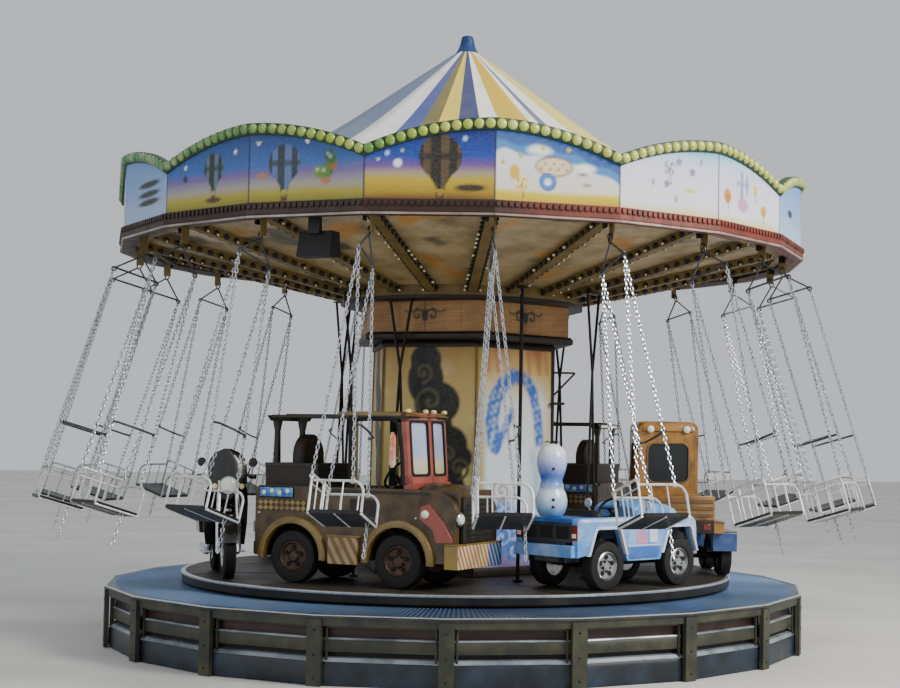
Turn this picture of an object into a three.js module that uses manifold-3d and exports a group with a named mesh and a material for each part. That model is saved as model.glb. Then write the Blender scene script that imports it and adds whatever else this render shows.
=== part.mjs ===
// A fairground carousel: a turning platform of toy vehicles under a round crown,
// with twenty chairs on chains that fly out from the rim as it turns.
// Millimetres, +Z up. The origin is on the ground at the centre, and -Y is the front.
import * as THREE from "three";
import { mergeVertices } from "three/addons/utils/BufferGeometryUtils.js";
import Module from "manifold-3d";

const wasm = await Module();
wasm.setup();

// Driving sizes
const sideCount = 20; // sides of the crown, the base and the tent, and the number of chairs
const sideTurn = 360 / sideCount;
const fit = 0.3; // gap between pieces that rest on each other

const crownRadius = 2750; // corners of the crown
const baseRadius = 2797; // corners of the deck
const baseTurn = -5.4; // the deck's corners against the crown's, where the ride has stopped
const deckTop = 460;
const deckThickness = 28;
const deckInnerRadius = 2080;
const platformRadius = 2211;
const platformTop = 550;
const platformBottom = 468;

const corniceBottom = 3066;
const corniceHeight = 105;
const boardThickness = 20;
const cuspHeight = 3487; // middle of the bulb trim between two scallops
const peakHeight = 3671; // middle of the bulb trim at the top of a scallop
const trimHeight = 80;
const trimDepth = 60;
const trimGap = 0.95; // the trim's steps are a little longer than the boards' below them
const scallopSteps = 4; // straight pieces of trim along one side of the crown

const armSlope = 0.229; // rise of the arms towards the rim
const armRimHeight = 3110; // underside of the arms at the rim
const armRimRadius = 2645;
const armHeight = 60;
const armWidth = 70;
const hubRingRadius = 990;

const drumTurn = 4.4; // corner of the six-sided centre
const drumRadius = 918;
const drumBottom = 2420;
const drumTop = 2680;
const columnTopRadius = 784;
const columnBottomRadius = 806;
const panelThickness = 25;

const tentRimHeight = 3235;
const tentNeckHeight = 4834; // top of the cloth, at the mast
const apexHeight = 4961;
const mastRadius = 70;

const pinRadius = 10; // hanger pin of a chair
const pinHeight = 2990;
const pinCircle = 2606; // radius of the circle of hanger pins
const hangLength = 1960; // pin to seat
const flyAngle = 17; // how far the chairs fly out

const radians = THREE.MathUtils.degToRad;
const halfSide = radians(sideTurn / 2);
const vec = (x, y, z) => new THREE.Vector3(x, y, z);

// A point at radius r, a degrees round from the front towards +X, at height z.
const polar = (r, a, z) => vec(r * Math.sin(radians(a)), -r * Math.cos(radians(a)), z);
const armUnderside = (r) => armRimHeight - armSlope * (armRimRadius - r);

const paint = (color, roughness = 0.55, metalness = 0) =>
  new THREE.MeshStandardMaterial({ color, roughness, metalness });
const galvanised = paint(0xc9ccce, 0.4, 0.8);
const deckMetal = paint(0x5d6f86, 0.45, 0.6);
const frameGreen = paint(0x5f6552, 0.6);
const slatBrown = paint(0x5a3a33, 0.6);
const platformGrey = paint(0x4a4a48, 0.7);
const panelGold = paint(0xd8b66a, 0.5);
const drumWood = paint(0xa86432, 0.55);
const armDark = paint(0x3a2c22, 0.6);
const ceilingOchre = paint(0xb07a35, 0.6);
const corniceRed = paint(0x6e2c26, 0.6);
const boardBlue = paint(0x8fb6d8, 0.6);
const trimGreen = paint(0x6fa35a, 0.5);
const tentCloth = paint(0xf0dfa0, 0.8);
const capBlue = paint(0x2f5fae, 0.6);
const truckOchre = paint(0xa87430, 0.55);
const truckRed = paint(0xc0523f, 0.5);
const carBlue = paint(0xa9c6e6, 0.5);
const cabOrange = paint(0xc97b2c, 0.5);
const bikeBlack = paint(0x2a2826, 0.4);
const speakerBlack = paint(0x1c1c1e, 0.7);
const tyreBlack = paint(0x1f1e1d, 0.8);
const snowWhite = paint(0xc7d6ee, 0.6);

// A closed geometry as a solid that can be joined and cut.
function solidOf(geometry) {
  const bare = geometry.clone();
  bare.deleteAttribute("normal");
  bare.deleteAttribute("uv");
  const merged = mergeVertices(bare, 1e-3);
  const positions = merged.attributes.position.array;
  const corners = new Uint32Array(merged.index.array);
  const build = () =>
    new wasm.Manifold(new wasm.Mesh({ numProp: 3, vertProperties: positions, triVerts: corners }));
  let solid = build();
  if (solid.volume() < 0) {
    for (let i = 0; i < corners.length; i += 3) {
      [corners[i + 1], corners[i + 2]] = [corners[i + 2], corners[i + 1]];
    }
    solid = build();
  }
  return solid;
}

function geometryOf(solid) {
  const mesh = solid.getMesh();
  const positions = new Float32Array(mesh.numVert * 3);
  for (let i = 0; i < mesh.numVert; i++) {
    for (let j = 0; j < 3; j++) positions[3 * i + j] = mesh.vertProperties[mesh.numProp * i + j];
  }
  const geometry = new THREE.BufferGeometry();
  geometry.setAttribute("position", new THREE.BufferAttribute(positions, 3));
  geometry.setIndex(new THREE.BufferAttribute(new Uint32Array(mesh.triVerts), 1));
  return geometry;
}

const fuse = (pieces) => geometryOf(wasm.Manifold.union(pieces.map(solidOf)));
const cut = (piece, tools) =>
  geometryOf(solidOf(piece).subtract(wasm.Manifold.union(tools.map(solidOf))));

function box(low, high) {
  const size = high.clone().sub(low);
  const middle = high.clone().add(low).multiplyScalar(0.5);
  return new THREE.BoxGeometry(size.x, size.y, size.z).translate(middle.x, middle.y, middle.z);
}

// A round bar of a few sides from one point to another.
function bar(from, to, radius, sides = 6) {
  const along = to.clone().sub(from);
  const geometry = new THREE.CylinderGeometry(radius, radius, along.length(), sides);
  geometry.applyQuaternion(
    new THREE.Quaternion().setFromUnitVectors(vec(0, 1, 0), along.clone().normalize()),
  );
  const middle = from.clone().add(to).multiplyScalar(0.5);
  return geometry.translate(middle.x, middle.y, middle.z);
}

// A solid of revolution about Z from a closed profile of [radius, height] points.
// With few sides its corners lie at the turn angle, measured from the front.
function ring(profile, sides, turn = 0) {
  const points = [...profile, profile[0]].map(([r, z]) => new THREE.Vector2(r, z));
  return new THREE.LatheGeometry(points, sides, radians(turn), 2 * Math.PI).rotateX(Math.PI / 2);
}

// A solid of revolution whose profile starts and ends on the axis.
function turned(profile, sides, turn = 0) {
  const points = profile.map(([r, z]) => new THREE.Vector2(r, z));
  return new THREE.LatheGeometry(points, sides, radians(turn), 2 * Math.PI).rotateX(Math.PI / 2);
}

// A skin over rows of a few points each. Rows follow each other along the piece, closed
// into a loop or capped at both ends.
function skinOver(rows, closed) {
  const positions = rows.flat().flatMap((p) => [p.x, p.y, p.z]);
  const width = rows[0].length;
  const index = [];
  const last = closed ? rows.length : rows.length - 1;
  for (let i = 0; i < last; i++) {
    const a = width * i;
    const b = width * ((i + 1) % rows.length);
    for (let j = 0; j < width; j++) {
      const k = (j + 1) % width;
      index.push(a + j, b + j, b + k, a + j, b + k, a + k);
    }
  }
  const end = width * (rows.length - 1);
  for (let j = 1; !closed && j < width - 1; j++) {
    index.push(0, j, j + 1, end, end + j + 1, end + j);
  }
  const geometry = new THREE.BufferGeometry();
  geometry.setAttribute("position", new THREE.Float32BufferAttribute(positions, 3));
  geometry.setIndex(index);
  return geometry;
}

const squareSection = [[0.5, 0.5], [-0.5, 0.5], [-0.5, -0.5], [0.5, -0.5]];
const threeSidedSection = [[0.5, 0], [-0.35, 0.45], [-0.35, -0.45]];

// A tube along a bent line, mitred at the bends. side is a direction that no stretch of
// the line follows.
function tube(points, thickness, side, section = squareSection) {
  const rows = points.map((point, i) => {
    const before = i > 0 ? point.clone().sub(points[i - 1]).normalize() : null;
    const after = i < points.length - 1 ? points[i + 1].clone().sub(point).normalize() : null;
    const along = (before ?? after).clone().add(after ?? before).normalize();
    const across = side.clone().cross(along).normalize();
    const other = along.clone().cross(across);
    const stretch = 1 / along.dot(before ?? after);
    const inPlane = before && after && before.clone().cross(after).length() > 1e-6
      ? before.clone().sub(after).normalize() : null;
    return section.map(([u, v]) => {
      const offset = across.clone().multiplyScalar(u * thickness).addScaledVector(other, v * thickness);
      if (inPlane) offset.addScaledVector(inPlane, offset.dot(inPlane) * (stretch - 1));
      return point.clone().add(offset);
    });
  });
  return skinOver(rows, false);
}

// A side outline of [x, z] points, carried across the width from -half to half.
function extruded(outline, half) {
  const shape = new THREE.Shape(outline.map(([x, z]) => new THREE.Vector2(x, z)));
  const geometry = new THREE.ExtrudeGeometry(shape, { depth: 2 * half, bevelEnabled: false });
  return geometry.rotateX(Math.PI / 2).translate(0, half, 0);
}

const copies = (count, make) => Array.from({ length: count }, (_, i) => make(i));

const ride = new THREE.Group();
const rotor = new THREE.Group();
ride.add(rotor);

function addMesh(group, name, geometry, material) {
  const mesh = new THREE.Mesh(geometry, material);
  mesh.name = name;
  group.add(mesh);
  return mesh;
}

// Base

const postWidth = 100;
const postInner = 2757;
const postOuter = 2790;
const railHeight = 45;
const railTop = deckTop - deckThickness - fit;
const railBottom = railTop - railHeight;
const pedestalRadius = 260;
const spindleRadius = 110;
const spindleTop = 700;
const beamWidth = 80;

function baseDeck() {
  const bottom = deckTop - deckThickness;
  return ring(
    [[deckInnerRadius, bottom], [baseRadius, bottom], [baseRadius, deckTop], [deckInnerRadius, deckTop]],
    sideCount, baseTurn,
  );
}

function baseFrame() {
  const rail = ring(
    [[2660, railBottom], [2780, railBottom], [2780, railTop], [2660, railTop]], sideCount, baseTurn,
  );
  const posts = copies(sideCount, (i) =>
    box(vec(-postWidth / 2, -postOuter, 0), vec(postWidth / 2, -postInner, railTop - 1))
      .rotateZ(radians(baseTurn + i * sideTurn)));
  const beams = copies(sideCount / 4, (i) =>
    box(vec(-beamWidth / 2, -2700, railBottom), vec(beamWidth / 2, -200, railTop))
      .rotateZ(radians(baseTurn + 4 * i * sideTurn)));
  const pedestal = turned(
    [[0, 0], [pedestalRadius, 0], [pedestalRadius, platformBottom - fit],
      [spindleRadius, platformBottom - fit], [spindleRadius, spindleTop], [0, spindleTop]], 24,
  );
  return fuse([rail, ...posts, ...beams, pedestal]);
}

// Louvred side panels: a backing wall with two ledges and a sill.
function baseSlats() {
  const back = 2690;
  const face = 2712;
  const slat = 2756.5;
  return ring(
    [[back, 0], [slat, 0], [slat, 150], [2735, 178], [face, 182], [face, 215], [2740, 215],
      [2740, 300], [face, 304], [face, railBottom - fit], [back, railBottom - fit]],
    sideCount, baseTurn,
  );
}

addMesh(ride, "base_deck", baseDeck(), deckMetal);
addMesh(ride, "base_frame", baseFrame(), frameGreen);
addMesh(ride, "base_slats", baseSlats(), slatBrown);

// Platform and centre

function platformDisc() {
  const hole = spindleRadius + 8;
  return ring(
    [[hole, platformBottom], [platformRadius - 12, platformBottom], [platformRadius, platformBottom + 14],
      [platformRadius, platformTop], [hole, platformTop]], 48,
  );
}

function centreColumn() {
  const bottom = platformTop + fit;
  const top = drumBottom - 40;
  const wall = panelThickness;
  return ring(
    [[columnBottomRadius - wall, bottom], [columnBottomRadius, bottom], [columnTopRadius, top],
      [columnTopRadius - wall, top]], 6, drumTurn,
  );
}

// Upper drum with its dark skirting below and the collar that carries the arms.
function centreDrum() {
  const bottom = drumBottom - 40 + fit;
  const skirting = turned(
    [[0, bottom], [drumRadius + 42, bottom], [drumRadius + 42, drumBottom + 20], [0, drumBottom + 20]],
    6, drumTurn,
  );
  const drum = turned(
    [[0, bottom + 5], [drumRadius, bottom + 5], [drumRadius, drumTop + 5], [0, drumTop + 5]], 6, drumTurn,
  );
  const collar = turned(
    [[0, drumTop], [hubRingRadius + 10, drumTop], [hubRingRadius + 10, drumTop + 30], [0, drumTop + 30]],
    sideCount,
  );
  return fuse([skirting, drum, collar]);
}

addMesh(rotor, "platform", platformDisc(), platformGrey);
addMesh(rotor, "centre_column", centreColumn(), panelGold);
addMesh(rotor, "centre_drum", centreDrum(), drumWood);

// Arms, ceiling and crown

const hubRingBottom = drumTop + 30 + fit;
const cheekGap = 13; // from the middle of a hanger to its plate
const cheekThickness = 10;
const cheekLength = 60;

// One hanger: a plate below the arm and the pin that the chair hangs on.
function hanger() {
  const plate = box(
    vec(cheekGap, -pinCircle - cheekLength / 2, pinHeight - 22),
    vec(cheekGap + cheekThickness, -pinCircle + cheekLength / 2, armUnderside(pinCircle) + 25),
  );
  const pin = bar(
    vec(-cheekGap - 6, -pinCircle, pinHeight),
    vec(cheekGap + cheekThickness / 2, -pinCircle, pinHeight), pinRadius, 6,
  );
  return [plate, pin];
}

function sweepArms() {
  const hubRing = ring(
    [[930, hubRingBottom], [hubRingRadius, hubRingBottom],
      [hubRingRadius, armUnderside(hubRingRadius) + armHeight], [930, armUnderside(930) + armHeight]],
    sideCount,
  );
  const rimRing = ring(
    [[2560, armUnderside(2560)], [armRimRadius, armRimHeight], [armRimRadius, armRimHeight + armHeight],
      [2560, armUnderside(2560) + armHeight]], sideCount,
  );
  const outer = armRimRadius - 20;
  const inner = 960;
  const arm = extruded(
    [[-outer, armUnderside(outer)], [-inner, armUnderside(inner)],
      [-inner, armUnderside(inner) + armHeight], [-outer, armUnderside(outer) + armHeight]],
    armWidth / 2,
  ).rotateZ(Math.PI / 2);
  const each = [arm, ...hanger()];
  const spokes = copies(sideCount, (i) =>
    each.map((piece) => piece.clone().rotateZ(radians(i * sideTurn)))).flat();
  return fuse([hubRing, rimRing, ...spokes]);
}

// Ceiling boards lying on the arms.
function ceiling() {
  const lift = armHeight + fit;
  const thickness = 20;
  const under = (r) => armUnderside(r) + lift;
  return ring(
    [[935, under(935)], [2636, under(2636)], [2636, under(2636) + thickness], [935, under(935) + thickness]],
    sideCount,
  );
}

// Rim beam with its painted cornice.
function cornice() {
  const inner = armRimRadius + 0.5;
  const top = corniceBottom + corniceHeight;
  return ring(
    [[inner, corniceBottom + 20], [2700, corniceBottom], [crownRadius + 8, corniceBottom],
      [crownRadius + 18, corniceBottom + 25], [crownRadius + 18, top - 20], [crownRadius + 6, top],
      [inner, top]], sideCount,
  );
}

// Height of the middle of the bulb trim at a place along the crown, in sides from the front.
function trimLine(place) {
  const fromPeak = Math.abs(place - 2 * Math.round(place / 2));
  return peakHeight - (peakHeight - cuspHeight) * fromPeak ** 2;
}

// The four corners of an upright section of the crown, on the straight side it lies on.
function crownSection(place, inner, outer, bottom, top) {
  const side = Math.floor(place + 1e-9);
  const share = place - side;
  const onSide = (r, z) =>
    polar(r, side * sideTurn, z).lerp(polar(r, (side + 1) * sideTurn, z), share);
  return [onSide(outer, bottom), onSide(outer, top), onSide(inner, top), onSide(inner, bottom)];
}

// One rounding board: four sides of the crown under two scallops.
function crownBoard(number) {
  const sides = 4;
  const first = number * sides - 1;
  const bottom = corniceBottom + corniceHeight + fit;
  const jointGap = 0.0005;
  const steps = sides * scallopSteps;
  const rows = copies(steps + 1, (i) => {
    const place = first + i / scallopSteps + (i === 0 ? jointGap : 0) - (i === steps ? jointGap : 0);
    return crownSection(
      place, crownRadius - boardThickness, crownRadius, bottom, trimLine(place) - trimHeight / 2,
    );
  });
  return skinOver(rows, false);
}

function crownTrim() {
  const outer = crownRadius + 20;
  const rows = copies(sideCount * scallopSteps, (i) => {
    const place = i / scallopSteps;
    const middle = trimLine(place);
    return crownSection(
      place, outer - trimDepth, outer, middle - trimHeight / 2 + trimGap, middle + trimHeight / 2,
    );
  });
  return skinOver(rows, true);
}

addMesh(rotor, "sweep_arms", sweepArms(), armDark);
addMesh(rotor, "ceiling", ceiling(), ceilingOchre);
addMesh(rotor, "cornice", cornice(), corniceRed);
copies(sideCount / 4, (i) => addMesh(rotor, `rounding_board_${i + 1}`, crownBoard(i), boardBlue));
addMesh(rotor, "crown_trim", crownTrim(), trimGreen);

// Mast and tent

const mastTop = tentNeckHeight + 8;

function mast() {
  const bottom = drumTop + 30 + fit;
  return turned([[0, bottom], [mastRadius, bottom], [mastRadius, mastTop], [0, mastTop]], 12);
}

function tentCover() {
  const rim = crownRadius - boardThickness - 0.6;
  const neck = mastRadius + 1;
  const sag = [[2000, 3570], [1500, 3833], [1100, 4085], [600, 4446]]; // flatter towards the rim
  const outline = [[rim, tentRimHeight], ...sag, [neck, tentNeckHeight]];
  const thickness = 14;
  const lining = outline.map(([r, z]) => [r, z - thickness]).reverse();
  return ring([...outline, ...lining], sideCount);
}

// Tapered sleeve over the mast's end; its foot follows the slope of the cloth.
function tentCap() {
  const bore = mastRadius + 1;
  const seat = mastTop + fit;
  const foot = 112;
  const neckSlope = 0.733; // of the cloth next to the mast
  const footHeight = tentNeckHeight + 1.5 - neckSlope * (foot - bore);
  return turned(
    [[0, seat], [bore, seat], [bore, tentNeckHeight + 1.5], [foot, footHeight], [foot, footHeight + 6],
      [92, 4838], [70, 4890], [54, 4938], [45, apexHeight - 8], [32, apexHeight], [0, apexHeight]], sideCount,
  );
}

addMesh(rotor, "mast", mast(), galvanised);
addMesh(rotor, "tent_cover", tentCover(), tentCloth);
addMesh(rotor, "tent_cap", tentCap(), capBlue);

// Pairs of tie rods from the arms, or from the collar of the drum, to the platform. The two
// rods of a pair cross and are joined where they cross.

const rodRadius = 11;
const rodTopHalf = 100; // half the distance between the rods at the top
const rodFootHalf = 90;
const rodCrossing = 2150;

function tieRods(radius, turn) {
  const underside = radius - 30 > hubRingRadius ? armUnderside(radius - 30) : drumTop;
  const top = underside - fit;
  const crossing = vec(0, -radius, rodCrossing);
  const rods = [-1, 1].flatMap((side) => [
    bar(vec(side * rodTopHalf, -radius, top - 4), crossing, rodRadius),
    bar(crossing, vec(-side * rodFootHalf, -radius, platformTop + 5), rodRadius),
    turned(
      [[0, platformTop + fit], [34, platformTop + fit], [34, platformTop + 12], [0, platformTop + 12]], 12,
    ).translate(side * rodFootHalf, -radius, 0),
  ]);
  const plate = box(
    vec(-rodTopHalf - 20, -radius - 30, top - 8), vec(rodTopHalf + 20, -radius + 30, top),
  );
  return fuse([...rods, plate]).rotateZ(radians(turn));
}

// A plain pole under an arm.
function platformPole(radius, turn) {
  const top = armUnderside(radius - 30) - fit;
  const ends = [[platformTop + fit, platformTop + 14], [top - 10, top]].map(([low, high]) =>
    box(vec(-30, -radius - 30, low), vec(30, -radius + 30, high)));
  const pole = bar(vec(0, -radius, platformTop + 5), vec(0, -radius, top - 5), 14);
  return fuse([...ends, pole]).rotateZ(radians(turn));
}

[[1120, -54], [1210, 54], [1120, 126], [1210, 234], [900, -36]].forEach(([radius, turn], i) =>
  addMesh(rotor, `tie_rods_${i + 1}`, tieRods(radius, turn), armDark));
addMesh(rotor, "platform_pole", platformPole(1190, 18), armDark);

// Loudspeaker below the rim ring, midway between two arms.
function loudspeaker() {
  const width = 246;
  const bottom = 2815;
  const top = 2992;
  const face = 2600; // distance of its front from the middle of the ride
  const bracketInner = 2550;
  const bracketTop = armUnderside(bracketInner / Math.cos(halfSide)) - fit;
  const housing = extruded(
    [[-face, bottom], [-face + 45, top], [-face + 150, top], [-face + 170, bottom + 40],
      [-face + 120, bottom]], width / 2,
  ).rotateZ(Math.PI / 2);
  const bracket = box(vec(-42, -bracketInner - 40, top - 20), vec(42, -bracketInner, bracketTop));
  return fuse([housing, bracket]);
}

addMesh(rotor, "loudspeaker", loudspeaker().rotateZ(radians(-1.5 * sideTurn)), speakerBlack);

// Toy vehicles. Each is made facing +X with its wheels on z = 0, then set on the platform.

const wheelSides = 12;
const bothSides = (make) => [-1, 1].flatMap(make);

function wheel(x, y, radius, width) {
  return bar(vec(x, y - width / 2, radius), vec(x, y + width / 2, radius), radius, wheelSides);
}

// Four wheels on two axles, with the spine that joins them.
function runningGear({ axles, track, radius, width }) {
  const wheels = axles.flatMap((x) => bothSides((side) => wheel(x, side * track / 2, radius, width)));
  const shafts = axles.map((x) => bar(vec(x, -track / 2, radius), vec(x, track / 2, radius), 25, 6));
  const spine = box(vec(axles[0], -40, radius - 30), vec(axles[1], 40, radius + 30));
  return fuse([...wheels, ...shafts, spine]);
}

// Slots below a body for its axles and the spine.
function axleSlots({ axles, track, radius }) {
  const top = radius + 30 + fit;
  const slots = axles.map((x) => box(vec(x - 35, -track, 0), vec(x + 35, track, top)));
  return [...slots, box(vec(axles[0] - 30, -45, 0), vec(axles[1] + 30, 45, top))];
}

// Wheel arches at both sides of each axle, from a side outline round the wheel's middle.
function archSpace({ axles, track, width }, outlineAt) {
  const inner = (track - width) / 2 - 12;
  return axles.flatMap((x) => bothSides((side) =>
    extruded(outlineAt(x), (track - inner) / 2).translate(0, side * (track + inner) / 2, 0)));
}

function arc(x, z, radius, from, to, steps) {
  return copies(steps + 1, (i) => {
    const a = radians(from + (to - from) * i / steps);
    return [x + radius * Math.cos(a), z + radius * Math.sin(a)];
  });
}

const truck = { axles: [-500, 380], track: 540, radius: 190, width: 110, half: 320 };
const truckArch = 245;
const truckWaist = 700; // top of the tub and of the bonnet
const truckDeck = 860; // top of the box behind the seat
const truckRoofTop = 1250;
const truckEnd = 835; // front and rear of the tub, without the bumpers
const gantryPlace = -760; // post pair of the gantry over the deck
const screenFront = 475; // foot of the screen

function truckBody() {
  const { axles, half, radius } = truck;
  const side = [
    [-truckEnd, 190], [-truckEnd, truckWaist], [580, truckWaist], [770, 675], [truckEnd, 600],
    [truckEnd, 150], [-260, 150],
  ];
  const tub = box(vec(-330, -half + 50, 420), vec(290, half - 50, truckWaist + 50));
  const round = (x) => arc(x, radius, truckArch, 0, 360, 16).slice(1);
  const shell = cut(extruded(side, half), [tub, ...archSpace(truck, round)]);
  const rims = axles.flatMap((x) => bothSides((hand) => {
    const outline = [
      ...arc(x, radius, truckArch + 52, 0, 180, 8), ...arc(x, radius, truckArch - 5, 180, 0, 8),
    ];
    return extruded(outline, 26).translate(0, hand * (half + 2), 0);
  }));
  const steps = bothSides((hand) =>
    box(vec(-185, hand * (half + 5) - 30, 150), vec(65, hand * (half + 5) + 30, 360)));
  const deck = box(vec(-800, -250, truckWaist - 10), vec(-340, 250, truckDeck));
  const seatOutline = [[-150, truckDeck - 10], ...arc(0, 930, 150, 180, 0, 6), [150, truckDeck - 10]];
  const seat = extruded(seatOutline, 50).rotateZ(Math.PI / 2).translate(-590, 0, 0);
  const bonnet = extruded([[490, 690], [490, 735], [760, 705], [805, 660]], 210);
  const bumper = box(vec(truckEnd - 75, -half - 20, 140), vec(truckEnd + 35, half + 20, 330));
  const shield = box(vec(truckEnd - 10, -230, 320), vec(truckEnd + 20, 230, 660));
  const tail = box(vec(-truckEnd - 35, -290, 190), vec(-truckEnd + 10, 290, 290));
  const whole = fuse([shell, ...rims, ...steps, deck, seat, bonnet, bumper, shield, tail]);
  return cut(whole, axleSlots(truck));
}

// The gantry over the deck, the cab roof on its pillars and the two-pane screen.
function truckRoof() {
  const top = truckRoofTop;
  const roofHalf = 290;
  const roof = box(vec(-180, -roofHalf, top - 30), vec(screenFront - 25, roofHalf, top));
  const spine = box(vec(gantryPlace - 40, -60, top - 45), vec(-150, 60, top - 10));
  const gantryBar = box(vec(gantryPlace - 40, -250, top - 75), vec(gantryPlace + 40, 250, top - 32));
  const posts = bothSides((side) => [
    box(
      vec(gantryPlace - 20, side * 165 - 20, truckDeck + fit),
      vec(gantryPlace + 20, side * 165 + 20, top - 50),
    ),
    box(vec(-50, side * roofHalf - 15, truckWaist + fit), vec(10, side * roofHalf + 15, top - 10)),
  ]);
  const screenFoot = truckWaist + 38;
  const frame = extruded(
    [[screenFront - 70, screenFoot], [screenFront, screenFoot], [screenFront - 40, top - 10],
      [screenFront - 110, top - 10]], roofHalf,
  );
  const panes = bothSides((side) =>
    box(vec(250, side * 145 - 115, screenFoot + 62), vec(550, side * 145 + 115, top - 70)));
  const foot = box(
    vec(screenFront - 80, -280, truckWaist + fit), vec(screenFront, 280, screenFoot + 7),
  );
  return fuse([roof, spine, gantryBar, ...posts, cut(frame, panes), foot]);
}

const openCar = { axles: [-340, 450], track: 520, radius: 175, width: 110, half: 310 };
const carDeck = 520; // top of the wings and the rear deck

function openCarBody() {
  const { half } = openCar;
  const side = [[-650, 180], [-650, carDeck], [600, carDeck], [650, 480], [650, 180]];
  const cockpit = box(vec(-330, -250, 330), vec(80, 250, carDeck + 50));
  const angular = (x) => [[x - 240, 100], [x - 130, 430], [x + 130, 430], [x + 240, 100]];
  const shell = cut(extruded(side, half), [cockpit, ...archSpace(openCar, angular)]);
  const bonnet = extruded([[80, 500], [80, 600], [140, 635], [430, 615], [590, 560], [640, 500]], 200);
  const rearBumper = box(vec(-695, -290, 240), vec(-640, 290, 330));
  const frontBumper = box(vec(640, -280, 220), vec(695, 280, 320));
  return cut(fuse([shell, bonnet, rearBumper, frontBumper]), axleSlots(openCar));
}

// Figure of stacked balls on the rear deck.
const figurePlace = [-575, 30];

function snowFigure() {
  const low = carDeck + fit;
  return turned(
    [[0, low], [80, low], [108, 580], [116, 635], [104, 700], [82, 765], [95, 840], [112, 910],
      [98, 985], [55, 1032], [0, 1045]], 12,
  ).translate(...figurePlace, 0);
}

const lorry = { axles: [-330, 310], track: 840, radius: 160, width: 100, half: 300 };
const lorryDeck = 560;
const lorryGuardWidth = 200;
const lorryGuardOuter = 500; // half the width over the mudguards
const lorryCabHalf = 250;

function lorryBody() {
  const side = [
    [-600, 340], [-600, 640], [-160, 640], [-160, lorryDeck], [560, lorryDeck], [600, 500], [600, 340],
  ];
  const sill = box(vec(-590, -380, 340), vec(590, 380, 440));
  const guards = lorry.axles.flatMap((x) => bothSides((hand) => {
    const y = hand * (lorryGuardOuter - lorryGuardWidth / 2);
    return box(vec(x - 210, y - lorryGuardWidth / 2, 200), vec(x + 210, y + lorryGuardWidth / 2, 360));
  }));
  const keel = box(vec(-590, -150, lorry.radius + 20), vec(590, 150, 350));
  const round = (x) => arc(x, lorry.radius, 180, 0, 360, 12).slice(1);
  const solid = fuse([extruded(side, lorry.half), sill, ...guards, keel]);
  return cut(solid, [...archSpace(lorry, round), ...axleSlots(lorry)]);
}

function lorryCab() {
  const low = lorryDeck + fit;
  const shell = extruded(
    [[-150, low], [330, low], [300, 1170], [240, 1235], [-110, 1235], [-150, 1170]], lorryCabHalf,
  );
  const room = extruded(
    [[-110, low - 10], [270, low - 10], [250, 1130], [-90, 1130]], lorryCabHalf - 40,
  );
  const sideWindow = box(vec(-70, -400, 740), vec(210, 400, 1050));
  const frontWindow = box(vec(200, -180, 740), vec(500, 180, 1050));
  const rearWindow = box(vec(-300, -165, 740), vec(-90, 165, 1050));
  return cut(shell, [room, sideWindow, frontWindow, rearWindow]);
}

function motorcycle() {
  const wheels = [-410, 410].map((x) => wheel(x, 0, 200, 90));
  const outline = [
    [-410, 190], [-470, 450], [-330, 540], [-20, 500], [110, 620], [270, 720], [315, 700], [430, 210],
    [385, 195], [250, 470], [170, 250], [-150, 180],
  ];
  const frame = extruded(outline, 60);
  const legShield = extruded(
    [[120, 230], [90, 520], [190, 700], [250, 700], [175, 520], [205, 230]], 165,
  );
  const handlebar = bar(vec(255, -200, 735), vec(255, 200, 735), 14, 6);
  const lamp = bar(vec(230, 0, 690), vec(345, 0, 690), 66, 12);
  const screenHalf = 148;
  const screenOutline = [
    [-screenHalf, 700], ...arc(0, 820, screenHalf, 180, 0, 10), [screenHalf, 700],
  ];
  const screen = extruded(screenOutline, 9).rotateZ(Math.PI / 2).translate(262, 0, 0);
  return fuse([...wheels, frame, legShield, handlebar, lamp, screen]);
}

// Sets a vehicle on the platform at a place [x, y], pointing heading degrees from +X.
function stand([x, y], heading) {
  const group = new THREE.Group();
  group.position.set(x, y, platformTop + fit);
  group.rotation.z = radians(heading);
  rotor.add(group);
  return group;
}

function addTruck(suffix, place, heading) {
  const group = stand(place, heading);
  addMesh(group, `tow_truck_body${suffix}`, truckBody(), truckOchre);
  addMesh(group, `tow_truck_roof${suffix}`, truckRoof(), truckRed);
  addMesh(group, `tow_truck_wheels${suffix}`, runningGear(truck), tyreBlack);
}

function addOpenCar(suffix, place, heading) {
  const group = stand(place, heading);
  addMesh(group, `open_car_body${suffix}`, openCarBody(), carBlue);
  addMesh(group, `open_car_wheels${suffix}`, runningGear(openCar), tyreBlack);
  return group;
}

addTruck("", [-705, -1300], -32);
addTruck("_rear", [705, 1300], 148);
const frontCar = addOpenCar("", [1010, -1386], 38);
addMesh(frontCar, "snow_figure", snowFigure(), snowWhite);
addOpenCar("_rear", [-1010, 1386], 218);
const orangeLorry = stand([1700, -75], 88);
addMesh(orangeLorry, "lorry_body", lorryBody(), cabOrange);
addMesh(orangeLorry, "lorry_cab", lorryCab(), cabOrange);
addMesh(orangeLorry, "lorry_wheels", runningGear(lorry), tyreBlack);
addMesh(stand([-1850, -640], -80), "motorcycle", motorcycle(), bikeBlack);

// Chairs. One is made hanging from its pin at the origin, with the rider facing +X.

const chairDepth = 360;
const chairWidth = 350;
const chairForward = 45; // the middle of the seat lies ahead of the pin
const armAbove = 185; // armrests above the seat
const backAbove = 225; // back rail above the seat
const seatThickness = 24;
const frameTube = 20;
const barThickness = 12;
const sideBarPlace = 70; // upright below each armrest, ahead of the pin
const backBarPlace = 58; // uprights of the back, off the middle
const chainThickness = 16;
const spreaderThickness = 16;
const spreaderDrop = 190;
const spreaderHalf = 165;

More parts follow.
